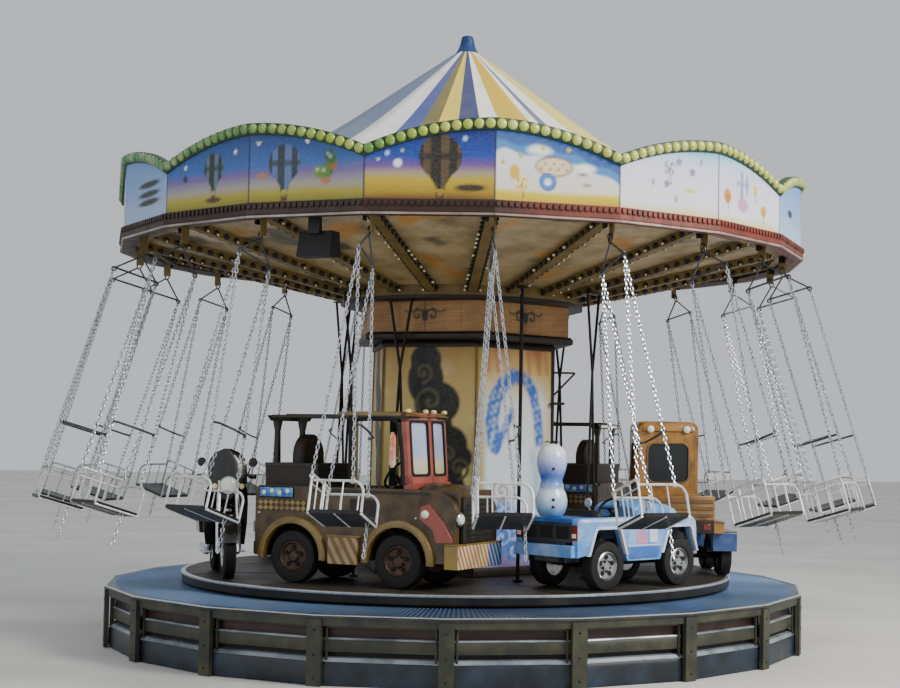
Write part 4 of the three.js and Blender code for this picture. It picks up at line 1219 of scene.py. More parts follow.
def baseSides():
    first = plan["deckTurn"] + sideTurn / 2
    railFoot = 0.3867

    def wall(name, profile, paint, inset=0.0, node=None):
        # A strip along one side of the base from (corner radius, height) points, repeated round it.
        strip = Shape()
        strip.loft([[(hand * (r * sin(halfTurn) - inset), -r * cos(halfTurn), z) for r, z in profile]
            for hand in (-1, 1)])
        makePiece(name, around(name, strip, paint, first=first), node=node, body="base")

    # The back wall is near black: painted shade in the recess.
    wall("side_wall", [(2.69, 0.002), (2.7, 0.002), (2.7, railFoot), (2.69, railFoot)], recessPaintedShade,
        node="base_slats")
    wall("side_wall_paint", [(2.7, 0.3), (2.706, 0.3), (2.706, railFoot - 0.001), (2.7, railFoot - 0.001)],
        slatBrown, 0.05)
    wall("low_slat", [(2.7, 0.0), (2.7535, 0.0), (2.7565, 0.02), (2.7555, 0.13), (2.748, 0.15),
        (2.74, 0.155), (2.7, 0.155)], slatBlue, 0.04)
    # The pale ledge and edge strips below are a painted highlight along the slat tops.
    wall("low_slat_ledge", [(2.7, 0.155), (2.752, 0.153), (2.754, 0.16), (2.738, 0.178), (2.7, 0.184)],
        ledgeHighlight, 0.04)
    wall("mid_slat", [(2.7, 0.217), (2.738, 0.217), (2.741, 0.225), (2.741, 0.285), (2.736, 0.296),
        (2.7, 0.3)], frameGreen, 0.045)
    wall("mid_slat_edge", [(2.7, 0.3), (2.739, 0.296), (2.743, 0.301), (2.739, 0.309), (2.7, 0.311)],
        ledgeHighlight, 0.045)
    bay = Shape()
    half = 2.75 * sin(halfTurn) - 0.062
    y = -2.752 * cos(halfTurn)
    for x0, x1, z0, z1 in ((-half, half, 0.372, 0.386), (-half, -half + 0.014, 0.012, 0.386),
            (half - 0.014, half, 0.012, 0.386)):
        bay.box((x0, y, z0), (x1, y + 0.02, z1))
    makePiece("bay_frames", around("bayFrames", bay, frameGreen, first=first), body="base",
        bevel=0.002)
    screw = Shape()
    screw.turned([(0, -0.002), (0.008, -0.002), (0.008, 0.002), (0.005, 0.004), (0, 0.004)], 8)
    spots = []
    for side in sides:
        angle = plan["deckTurn"] + side * sideTurn
        facing = polar(1, angle, 0)
        spots += [(polar(2.79, angle, z) + facing * 0.0005, facing) for z in (0.05, 0.2, 0.36)]
    makePiece("post_screws", scatter("postScrews", spots, screw, castDark), body="base")


baseDeck()
baseSides()
dress("base_frame", frameGreen)
print("base made")

# Chairs, made once hanging from the pin at the origin with the rider facing +X

chair = {
    "tube": 0.0085, "bar": 0.005, "line": 0.165, "back": -0.125, "front": 0.215, "seatTop": -1.96,
    "armRise": 0.185, "backRise": 0.225, "spreader": -0.19, "lapRise": 0.37, "tail": 0.2, "fly": -17,
    "pinCircle": 2.606, "pinHeight": 2.99,
}
seatBlack = surface("seat black", "1b1b1c", "38383a", 0.5, 25, 0.42, bumpGrain=600, bump=0.3)
chairWhite = surface("chair paint", "dfe1e0", "9b9c98", 0.55, 28, 0.35, metal=0.25)
chainZinc = surface("chain zinc", "dfe2e6", "6a6c70", 0.7, 45, 0.3, metal=0.8)
hangerGrey = surface("hanger grey", "5c5f63", "8a8c8f", 0.5, 20, 0.4, metal=0.6)


def chairFrame():
    made = Shape()
    low, arm = chair["seatTop"] - 0.012, chair["seatTop"] + chair["armRise"]
    top, line = chair["seatTop"] + chair["backRise"], chair["line"]
    back, front = chair["back"], chair["front"]
    for side in (-1, 1):
        y = side * line
        corner = arc(front - 0.075, arm - 0.075, 0.075, 90, 0, 6)
        rail = [(back, y, arm), (0.0, y, arm), (0.08, y, arm)] + [(x, y, z) for x, z in corner]
        made.tube(rail + [(front, y, low)], chair["tube"], 8)
        for x in (-0.035, 0.081):
            made.rod((x, y, low), (x, y, arm), chair["bar"], 6)
        for x, z in ((back, top - 0.012), (front - 0.075, arm)):
            made.tube([(x + 0.014 * cos(t), y, z + 0.014 * sin(t)) for t in np.linspace(0, 5.5, 8)], 0.0045,
                6, loop=True)
    bend = arc(line - 0.03, top - 0.03, 0.03, 0, 90, 4)
    hoop = [(back, line, low)] + [(back, y, z) for y, z in bend]
    hoop += [(back, -y, z) for y, z in reversed(bend)] + [(back, -line, low)]
    made.tube(hoop, chair["tube"], 8)
    for y in (-0.058, 0.058):
        made.rod((back, y, low), (back, y, top), chair["bar"], 6)
    made.rod((back, -line, arm - 0.02), (back, line, arm - 0.02), chair["bar"], 6)
    for x in (back, 0.045, front):
        made.rod((x, -line, low - 0.008), (x, line, low - 0.008), 0.009, 6)
    lap = arm + chair["lapRise"]
    x = 0.14 * (lap - chair["spreader"]) / (arm - chair["spreader"])
    made.tube([(x, -line, lap), (x + 0.035, -line * 0.8, lap), (x + 0.045, 0, lap),
        (x + 0.035, line * 0.8, lap), (x, line, lap)], 0.008, 8, "hanger")
    s = chair["spreader"]
    made.rod((0, -line - 0.012, s), (0, line + 0.012, s), 0.0075, 8, "hanger")
    for side in (-1, 1):
        made.rod((0, side * line * 0.97, s), (0, side * 0.006, -0.045), 0.0065, 8, "hanger")
        made.tube([(0, side * line + 0.016 * cos(t), s - 0.012 + 0.016 * sin(t))
            for t in np.linspace(0, 5.5, 8)], 0.006, 6, "hanger", loop=True)
    eye = [(0, 0.0185 * cos(t), -0.016 + 0.036 * sin(t)) for t in fullTurn(14)]
    made.tube(eye, 0.006, 6, "hanger", loop=True)
    return made


def chairSeat():
    made = Shape()
    top, half = chair["seatTop"], chair["line"] + 0.01
    x0, x1 = chair["back"] - 0.01, chair["front"] + 0.01
    rows = []
    for z, inset in ((top - 0.026, 0.018), (top - 0.022, 0.004), (top - 0.006, 0.0), (top, 0.005)):
        outline = roundedBox((x0 + inset, -half + inset), (x1 - inset, half - inset), 0.03, 4)
        rows.append([(x, y, z) for x, y in outline])
    rows.append([((x - 0.045) * 0.8 + 0.045, y * 0.8, top + 0.002) for x, y, z in rows[-1]])
    rows.append([((x - 0.045) * 0.6 + 0.045, y * 0.6, top - 0.003) for x, y, z in rows[-2]])
    made.loft(rows)
    return made


def chairChains():
    line, s = chair["line"], chair["spreader"]
    top, arm = chair["seatTop"] + chair["backRise"], chair["seatTop"] + chair["armRise"]
    lines = []
    for side in (-1, 1):
        y = side * line
        lines.append([(0, y, s - 0.03), (chair["back"], y, top + 0.012)])
        lines.append([(0, y, s - 0.03), (0.14, y, arm + 0.014)])
    low = chair["seatTop"] - 0.03
    lines.append([(0.19, 0.06, low), (0.19, 0.06, low - chair["tail"])])
    return chainMesh("chairChains", lines, chainZinc)


def buildChairs():
    steel = meshOf("chairFrame", chairFrame(), {"paint": chairWhite, "hanger": hangerGrey})
    seat = meshOf("chairSeat", chairSeat(), seatBlack)
    links = chairChains()
    for i in sides:
        place = (Matrix.Rotation(radians(i * sideTurn), 4, "Z") @ Matrix.Translation((0,
            -chair["pinCircle"], chair["pinHeight"])) @ Matrix.Rotation(radians(chair["fly"]), 4, "X"))
        body, number = f"chair_{i + 1:02d}", f"{i + 1:02d}"
        for name, source, node in (("chair_frame_", steel, f"swing_chair_{number}"),
                ("chair_seat_", seat, None), ("chair_chains_", links, None)):
            mesh = source.copy()
            mesh.transform(place)
            makePiece(name + number, mesh, node=node, body=body)


buildChairs()
print("chairs hung")

# Vehicles. Each is made facing +X with its wheels on z = 0, then set on the platform.

tyreBlack = surface("tyres", "1d1c1b", "393634", 0.6, 18, 0.75, bumpGrain=300, bump=0.4)
hubBrown = surface("brown hubs", "6a5140", "3f2f26", 0.7, 22, 0.5, metal=0.3)
hubAlloy = surface("alloy hubs", "c4c6c8", "8a8c8e", 0.5, 22, 0.3, metal=0.85)
# Near black for black parts such as steering wheels, grips and axles, and painted shade where it fills hub
# holes, grille gaps and the undersides of bodies.
blackPartsAndGapShade = surface("black parts and gap shade", "151412", "262320", 0.4, rough=0.8, bump=0)
seatBrown = surface("seat brown", "33251c", "54402f", 0.6, 14, 0.55, bumpGrain=260, bump=0.35)
lampGlass = surface("lamp glass", "f4f1e4", "d8dbe0", 0.4, 30, 0.1, coat=0.8, bump=0)
lampAmber = surface("amber lamps", "f6e3a0", "fff4d0", 0.6, 30, 0.15, coat=0.6, bump=0)
steel = surface("bright steel", "cfd2d4", "9a9c9e", 0.4, 30, 0.25, metal=0.9)


def panePicture(place):
    # Pale blue panes, yellowish towards the foot.
    return bands(spread(axisOf(place, "Z"), 1.3, 1.75), [
        (0.0, "c9bf82"), (0.3, "d8d4b0"), (0.45, "b9c4dc"), (1.0, "c4cbe2")], True)


def slanted(first, second, size, lean):
    def draw(place):
        level = calc("MULTIPLY", axisOf(place, "Z"), lean)
        along = calc("ADD", axisOf(place, "X"), level)
        share = calc("FRACT", calc("DIVIDE", along, size))
        return blend(calc("GREATER_THAN", share, 0.5), ink(first), ink(second))
    return draw


def bumperPicture(place):
    # Yellow at the sides; across the front, fine warm stripes on one half and blue on the other.
    def level(value, size, low, high, x, y):
        # One of two colours by how far a value reaches along a level way.
        reach = calc("ADD", calc("MULTIPLY", axisOf(value, "X"), x),
            calc("MULTIPLY", axisOf(value, "Y"), y))
        return blend(calc("GREATER_THAN", calc("ABSOLUTE", reach), size), low, high)

    cool, warm = [slanted(*hues, 0.028, 0.3)(place) for hues in (("3c5a8c", "9fb4d4"),
        ("c08a50", "dcd2bc"))]
    front = level(place, 1.35, cool, warm, 0.53, 0.848)
    return level(put(place.id_data, "NewGeometry").outputs["True Normal"], 0.7, ink("b49a48"), front, 0.848,
        -0.53)


truckPaints = {
    "ochre": surface("truck ochre", "6c5632", "362a1c", 0.85, 9, 0.42, coat=0.25),
    "lozenge": surface("truck lozenges", "a87a3a", "4a321f", 0.5, 9, 0.42, coat=0.3,
        picture=checks("b49a5c", "56432c", 0.028)),
    "gold": surface("truck gold", "957f40", "5f4c28", 0.6, 8, 0.4, coat=0.3),
    "red": surface("truck red", "b06454", "8a4c40", 0.5, 9, 0.38, coat=0.4),
    "guard": surface("dark guard", "33352a", "5c5238", 0.6, 10, 0.5), "seat": seatBrown,
    "pane": surface("pale panes", "d9d6cc", "9fb0d4", 0.4, 5, 0.15, coat=0.6, bump=0, picture=panePicture),
    "plate": surface("blue plate", "2f74c4", "8fd0f0", 0.9, 14, 0.35, coat=0.4), "glass": lampGlass,
    "amber": lampAmber, "steel": steel,
    "stripes": surface("step stripes", "d0a04a", "8a6a3c", 0.5, 9, 0.45, coat=0.2,
        picture=slanted("bca67c", "8a7252", 0.062, 0.5)),
    "bumper": surface("bumper stripes", "d9b04a", "8a7a5c", 0.5, 7, 0.4, coat=0.3, picture=bumperPicture),
    "dark": blackPartsAndGapShade, "mirror": surface("mirror paint", "d88a66", "f0ece4", 0.9, 7, 0.3, coat=0.4),
}


def standAt(x, y, heading):
    return Matrix.Translation((x, y,
        plan["platformTop"] + plan["clearance"])) @ Matrix.Rotation(radians(heading), 4, "Z")


def archedSide(top, axles, wheelRadius, archRadius, bottom, steps=14):
    # A side outline with round wheel arches; top runs from the rear foot over to the front foot.
    start = degrees(asin(max(-1, min(1, (bottom - wheelRadius) / archRadius))))
    outline = list(top)
    for x in sorted(axles, reverse=True):
        outline += arc(x, wheelRadius, archRadius, start, 180 - start, steps)
    return outline


def addWheel(shape, x, y, radius, width, hand, holes=5):
    half = width / 2
    at = (x, y, radius)
    facing = (0, hand, 0)
    rim = radius * 0.6
    shape.turned([(rim * 0.97, -half), (radius * 0.9, -half), (radius, -half * 0.7), (radius, half * 0.7),
        (radius * 0.965, half * 0.92), (radius * 0.88, half), (rim * 1.06, half), (rim, half * 0.9)], 28,
        "tyre", at, facing)
    for k in range(28):
        a = 2 * pi * k / 28
        shape.loft([[(x + r * cos(t), y + w * half, radius + r * sin(t))
            for r, w in ((radius * 0.985, -0.66), (radius * 0.985, 0.66), (radius, 0.6), (radius, -0.6))]
            for t in (a, a + 0.09)], "tyre")
    shape.turned([(0, -half * 0.8), (rim * 0.96, -half * 0.8), (rim * 0.985, half * 0.86),
        (rim * 0.9, half * 0.95), (rim * 0.8, half * 0.62), (rim * 0.42, half * 0.55),
        (rim * 0.3, half * 0.78), (0, half * 0.84)], 24, "hub", at, facing)
    for k in range(holes):
        a = 2 * pi * k / holes + 0.3
        spot = (x + rim * 0.6 * cos(a), y + hand * half * 0.6, radius + rim * 0.6 * sin(a))
        # Dark discs on the hub's face stand for its holes: painted shade.
        shape.turned([(0, -0.004), (rim * 0.17, -0.004), (rim * 0.17, half * 0.08), (0, half * 0.08)], 10,
            "dark", spot, facing)
        bolt = (x + rim * 0.34 * cos(a + 0.6), y + hand * half * 0.62, radius + rim * 0.34 * sin(a + 0.6))
        shape.turned([(0, 0), (0.012, 0), (0.01, 0.009), (0, 0.01)], 6, "dark", bolt, facing)


def runningGear(name, node, place, vehicle, hub):
    gear = Shape(place)
    (rear, front), track, radius = vehicle["axles"], vehicle["track"], vehicle["radius"]
    for x in (rear, front):
        for hand in (-1, 1):
            addWheel(gear, x, hand * track / 2, radius, vehicle["width"], hand)
        gear.rod((x, -track / 2, radius), (x, track / 2, radius), 0.024, 10, "dark")
    gear.box((rear, -0.035, radius - 0.025), (front, 0.035, radius + 0.025), "dark")
    makePiece(name, gear, {"tyre": tyreBlack, "hub": hub, "dark": blackPartsAndGapShade}, node)


def fender(made, x, hand):
    # A rounded band over a wheel.
    arch, thick, steps = truck["arch"], 0.05, 18
    section = [(arch - 0.004, -0.026), (arch + thick * 0.55, -0.026), (arch + thick, -0.006),
        (arch + thick * 0.9, 0.02), (arch + thick * 0.45, 0.028), (arch - 0.004, 0.026)]
    turns = [radians(-4 + 188 * i / steps) for i in range(steps + 1)]
    made.loft([[(x + r * cos(a), hand * (truck["half"] + w), truck["radius"] + r * sin(a))
        for r, w in section] for a in turns], "gold")


truck = {
    "axles": (-0.5, 0.38), "track": 0.54, "radius": 0.19, "width": 0.11, "half": 0.32, "arch": 0.245,
    "waist": 0.7, "deck": 0.86, "roof": 1.25, "end": 0.835, "gantry": -0.76, "screen": 0.475,
}


def truckSide(made, hand):
    # One side wall with its bands, fender rims, step and lamps.
    half, waist, end = truck["half"], truck["waist"], truck["end"]
    top = [(-end, 0.19), (-end, waist - 0.03), (0.03 - end, waist), (0.56, waist), (0.68, waist - 0.012),
           (end - 0.07, waist - 0.035), (end - 0.02, waist - 0.085), (end, waist - 0.14), (end, 0.19)]
    made.prism(archedSide(top, truck["axles"], truck["radius"], truck["arch"], 0.19), hand * 0.262,
        hand * (half - 0.002), "ochre")

    def panel(x0, z0, x1, z1, paint, proud=0.004, inner=0.01):
        made.box((x0, hand * (half - inner), z0), (x1, hand * (half + proud), z1), paint)

    panel(0.02 - end, 0.52, -0.4, 0.6, "lozenge")
    panel(-0.8, 0.612, -0.5, 0.695, "dark", 0.003)
    panel(-0.792, 0.62, -0.508, 0.687, "plate", 0.009)
    for k in range(4):
        made.turned([(0, 0), (0.019, 0), (0.016, 0.004), (0, 0.005)], 14, "glass",
            (-0.755 + 0.068 * k, hand * (half + 0.009), 0.65 + 0.012 * (k % 2)), (0, hand, 0))
    panel(-0.38, 0.664, 0.62, 0.682, "guard", 0.007)
    panel(-0.02, 0.5, 0.2, 0.62, "seat", 0.003)
    for x in truck["axles"]:
        fender(made, x, hand)
    made.prism([(0.55, 0.5), (0.56, 0.585), (0.63, 0.6), (0.75, 0.47), (0.815, 0.36), (0.815, 0.335),
        (0.69, 0.335), (0.66, 0.42)], hand * (half - 0.01), hand * (half + 0.01), "red")
    made.turned([(0, 0), (0.03, 0), (0.03, 0.01), (0.018, 0.02), (0, 0.022)], 14, "glass",
        (0.6, hand * (half + 0.01), 0.53), (0, hand, 0))
    panel(-0.18, 0.155, 0.06, 0.345, "stripes", 0.034, 0.02)
    panel(-0.195, 0.345, 0.075, 0.36, "gold", 0.035, 0.03)
    for x in (-0.8, -0.23, 0.08, 0.52):
        made.turned([(0, 0), (0.011, 0), (0.009, 0.006), (0, 0.007)], 8, "steel", (x, hand * half, 0.5),
            (0, hand, 0))


def truckBody(place):
    made = Shape(place)
    half, waist, deck, end = truck["half"], truck["waist"], truck["deck"], truck["end"]
    for hand in (-1, 1):
        truckSide(made, hand)
        made.box((-0.29, hand * 0.256, 0.6), (0.27, hand * 0.264, 0.69), "lozenge")
    for x0, x1 in ((0.29, end - 0.005), (0.003 - end, -0.33)):
        # The near-black core between the sides under the body is painted shade.
        made.boxes((x0, -0.264, 0.445, x1, 0.264, waist - 0.002, "ochre"),
            (x0, -0.2, 0.18, x1, 0.2, 0.447, "dark"))
    made.boxes((-0.335, -0.264, 0.39, 0.295, 0.264, 0.42, "dark"),
        (-0.8, -0.25, waist - 0.01, -0.345, 0.25, deck, "seat"),
        (-0.804, -0.256, deck - 0.02, -0.34, 0.256, deck + 0.006, "guard"))
    back = [(0.15, deck)] + [(0.15 * cos(t), 0.93 + 0.15 * sin(t)) for t in np.linspace(0.1, pi - 0.1, 14)]
    back.append((-0.15, deck))
    made.loft([[(x - 0.59, y * k, (z - deck) * k + deck) for y, z in back]
        for x, k in ((-0.05, 0.92), (-0.038, 1.0), (0.03, 1.0), (0.05, 0.88))], "seat")
    made.pad((-0.32, -0.17), (-0.06, 0.17), 0.03, [(0.42, 0.0), (0.45, 0.0), (0.465, 0.012)], "seat")
    hood = []
    for x, z, w in ((0.49, 0.70, 0.205), (0.5, 0.735, 0.2), (0.64, 0.728, 0.2), (0.74, 0.708, 0.19),
            (0.8, 0.668, 0.17)):
        hood.append([(x, -w, waist - 0.04), (x, -w, z - 0.014), (x, -w + 0.03, z), (x, 0, z + 0.008),
            (x, w - 0.03, z), (x, w, z - 0.014), (x, w, waist - 0.04)])
    made.loft(hood, "ochre")
    made.boxes((end - 0.075, -half - 0.018, 0.155, end + 0.033, half + 0.018, 0.318, "bumper"),
        (end - 0.08, -half - 0.02, 0.318, end + 0.035, half + 0.02, 0.33, "gold"),
        (end - 0.008, -0.23, 0.335, end + 0.018, 0.23, 0.655, "guard"))
    for k in range(7):
        made.box((end + 0.012, -0.19, 0.38 + 0.035 * k), (end + 0.02, 0.19, 0.396 + 0.035 * k), "dark")
    for hand in (-1, 1):
        lamp = (end, hand * 0.268, 0.5)
        made.turned([(0, 0), (0.046, 0), (0.05, 0.015), (0.042, 0.022), (0, 0.022)], 18, "steel", lamp,
            ahead)
        made.turned([(0, 0.02), (0.038, 0.02), (0.03, 0.03), (0, 0.034)], 16, "glass", lamp, ahead)
    made.box((-end - 0.033, -0.285, 0.195), (0.01 - end, 0.285, 0.285), "guard")
    made.rod((0.265, 0.0, 0.63), (0.17, 0.0, 0.79), 0.014, 8, "dark")
    steeringRing(made, (0.165, 0, 0.795), 0.11, "dark")
    made.box((0.25, -0.24, 0.62), (0.292, 0.24, 0.72), "guard")
    return made


def steeringRing(made, middle, radius, paint):
    made.tube([Vector(middle) + radius * Vector((sin(t) * 0.56, cos(t), sin(t) * 0.82))
        for t in fullTurn(20)], 0.01, 8, paint, loop=True)


def truckCab(place):
    made = Shape(place)
    top, waist, screen = truck["roof"], truck["waist"], truck["screen"]
    rear, deck = truck["gantry"], truck["deck"]
    front = screen - 0.03
    roof = []
    for x, z in ((-0.18, top - 0.028), (-0.15, top - 0.004), (0.1, top), (front - 0.05, top - 0.004),
            (front, top - 0.03)):
        roof.append([(x, -0.29, top - 0.034), (x, -0.286, z - 0.006), (x, -0.25, z), (x, 0.25, z),
            (x, 0.286, z - 0.006), (x, 0.29, top - 0.034)])
    made.loft(roof, "gold")
    made.boxes((-0.17, -0.294, top - 0.05, front - 0.02, 0.294, top - 0.032, "guard"),
        (rear, -0.06, top - 0.045, -0.15, 0.06, top - 0.02, "guard"))
    made.loft([[(x, y, z) for y, z in ((-w, top - 0.034), (-w + 0.05, top - 0.075), (w - 0.05, top - 0.075),
        (w, top - 0.034))] for x, w in ((rear - 0.04, 0.25), (rear + 0.04, 0.25))], "guard")
    for y in (-0.1, 0.1):
        made.box((rear - 0.046, y - 0.08, top - 0.066), (rear - 0.038, y + 0.08, top - 0.044), "glass")
    for hand in (-1, 1):
        made.box((rear, hand * 0.235 - 0.012, top - 0.05), (-0.15, hand * 0.235 + 0.012, top - 0.03),
            "guard")
        y = hand * 0.165
        made.loft([[(rear + a * w, y + b * w, z) for a, b in ((-1, -1), (1, -1), (1, 1), (-1, 1))]
            for z, w in ((deck + 0.007, 0.02), (1.1, 0.016), (top - 0.05, 0.03))], "guard")
        y = hand * 0.29
        made.boxes((-0.055, y - 0.014, waist + 0.001, 0.0, y + 0.014, top - 0.032, "dark"),
            (0.0, y - 0.006, waist + 0.001, 0.012, y + 0.012, top - 0.032, "gold"))
        rail = curve([(0.0, y, top - 0.06), (0.2, y, top - 0.055), (0.33, y, top - 0.075), (0.375, y, 1.0),
            (0.395, y, waist + 0.03)], 4)
        made.tube(rail, 0.016, 8, "dark")
        made.loft([[(0.315 + dx * w, hand * 0.322 + dy * w, z) for dx, dy in ((0, -1), (0.9, -0.7),
            (0.9, 0.7), (0, 1))] for z, w in ((0.85, 0.014), (0.875, 0.03), (1.07, 0.026), (1.1, 0.012))],
            "mirror")
        made.rod((0.36, hand * 0.285, 0.92), (0.32, hand * 0.322, 0.92), 0.006, 6, "steel")
    low = waist + 0.038

    def frontAt(z, y=0.0):
        # The screen leans back and its middle stands a little ahead of its sides.
        return screen - 0.04 * (z - low) / (top - 0.01 - low) - 0.03 * abs(y) / 0.29

    def screenBar(z0, z1, y0, y1):
        made.loft([[(frontAt(z) - 0.07, y0, z), (frontAt(z, y0), y0, z), (frontAt(z, y1), y1, z),
            (frontAt(z) - 0.07, y1, z)] for z in (z0, z1)], "red")

    for y0, y1 in ((-0.29, -0.25), (-0.03, 0.0), (0.0, 0.03), (0.25, 0.29)):
        screenBar(low, top - 0.01, y0, y1)
    for y0, y1 in ((-0.29, 0.0), (0.0, 0.29)):
        screenBar(low, low + 0.062, y0, y1)
        screenBar(top - 0.075, top - 0.01, y0, y1)
    for hand in (-1, 1):
        y = hand * 0.14
        outline = roundedBox((y - 0.116, low + 0.05), (y + 0.116, top - 0.06), 0.03, 5)
        inner = roundedBox((y - 0.098, low + 0.068), (y + 0.098, top - 0.078), 0.024, 5)
        made.loft([[(frontAt(z, yy) + d, yy, z) for yy, z in line]
            for d, line in ((-0.03, outline), (0.004, outline), (0.007, inner), (-0.008, inner),
            (-0.03, inner))], "dark", loop=True)
        made.loft([[(frontAt(z, yy) + d, yy, z) for yy, z in inner] for d in (-0.02, -0.008)], "pane")
    for y in (-0.27, -0.02, 0.1, 0.26):
        made.turned([(0, 0), (0.02, 0), (0.023, 0.012), (0.016, 0.024), (0, 0.028)], 12, "amber",
            (front - 0.03, y, top - 0.008))
    made.box((screen - 0.08, -0.28, waist + 0.001), (screen - 0.005, 0.28, waist + 0.045), "red")
    return made


def buildTruck(suffix, place):
    makePiece("tow_truck_shell" + suffix, truckBody(place), truckPaints,
        "tow_truck_body" + suffix, bevel=0.005)
    makePiece("tow_truck_cab" + suffix, truckCab(place), truckPaints,
        "tow_truck_roof" + suffix, bevel=0.003)
    runningGear("tow_truck_tyres" + suffix, "tow_truck_wheels" + suffix, place, truck, hubBrown)


buildTruck("", standAt(-0.705, -1.3, -32))
buildTruck("_rear", standAt(0.705, 1.3, 148))
print("tow trucks made")

# Open car with the ball figure on its rear deck

lampRed = surface("tail lamps", "8f3a2c", "5c2a22", 0.5, 20, 0.25, coat=0.6)
carPaints = {
    "blue": surface("car blue", "66a4de", "c3d6ec", 0.7, 4.5, 0.35, coat=0.4),
    "deep": surface("car deep blue", "2f74c0", "6f9fd2", 0.8, 6, 0.35, coat=0.4),
    # The dark blue-grey rear face and the end blocks under the deck are painted shade.
    "rear": surface("car rear painted shade", "33404c", "5b6874", 0.6, 7, 0.4, coat=0.2),
    "pink": surface("car pink", "d7a9bf", "b78fb5", 0.7, 12, 0.4, coat=0.4),
    "white": surface("car white", "e4e6f2", "a8c4e4", 0.6, 7, 0.35, coat=0.5),
    "grey": surface("bumper grey", "8d9299", "b9bdc0", 0.6, 9, 0.45), "lamp": lampRed, "glass": lampGlass,
    "dark": blackPartsAndGapShade, "seat": seatBlack,
}
openCar = {
    "axles": (-0.34, 0.45), "track": 0.52, "radius": 0.175, "width": 0.11, "half": 0.308, "deck": 0.52,
}


def openCarShell(place):
    made = Shape(place)
    half, deck = openCar["half"], openCar["deck"]
    outline = [(-0.65, 0.24), (-0.65, deck - 0.03), (-0.62, deck - 0.002), (0.52, deck - 0.002),
        (0.6, deck - 0.012), (0.64, deck - 0.045), (0.65, deck - 0.1), (0.65, 0.26)]
    for x in sorted(openCar["axles"], reverse=True):
        outline += [(x + 0.187, 0.26), (x + 0.128, 0.42), (x + 0.108, 0.432), (x - 0.108, 0.432),
            (x - 0.128, 0.42), (x - 0.187, 0.26)]
        if x > 0:
            outline += [(x - 0.215, 0.2), (-0.34 + 0.215, 0.2)]
    for hand in (-1, 1):
        made.prism(outline, hand * 0.25, hand * half, "blue")
    for x0, x1 in ((0.08, 0.646), (-0.646, -0.33)):
        made.boxes((x0, -0.252, 0.438, x1, 0.252, deck - 0.004, "deep"),
            (x0, -0.185, 0.2, x1, 0.185, 0.44, "rear"))
    # A near-black strip between the wheel arches: painted shade.
    made.box((-0.332, -0.252, 0.3), (0.082, 0.252, 0.326), "dark")
    rows = []
    for x, z, w in ((0.06, 0.585, 0.205), (0.1, 0.622, 0.205), (0.2, 0.634, 0.2), (0.43, 0.616, 0.19),
            (0.56, 0.575, 0.17), (0.63, 0.525, 0.14)):
        row = [(x, -w, 0.5)]
        row += [(x, w * sin(t), 0.5 + (z - 0.5) * (0.55 + 0.45 * cos(t) ** 0.6))
                for t in np.linspace(-pi / 2 + 0.08, pi / 2 - 0.08, 13)]
        rows.append(row + [(x, w, 0.5)])
    made.loft(rows, "blue")
    return made


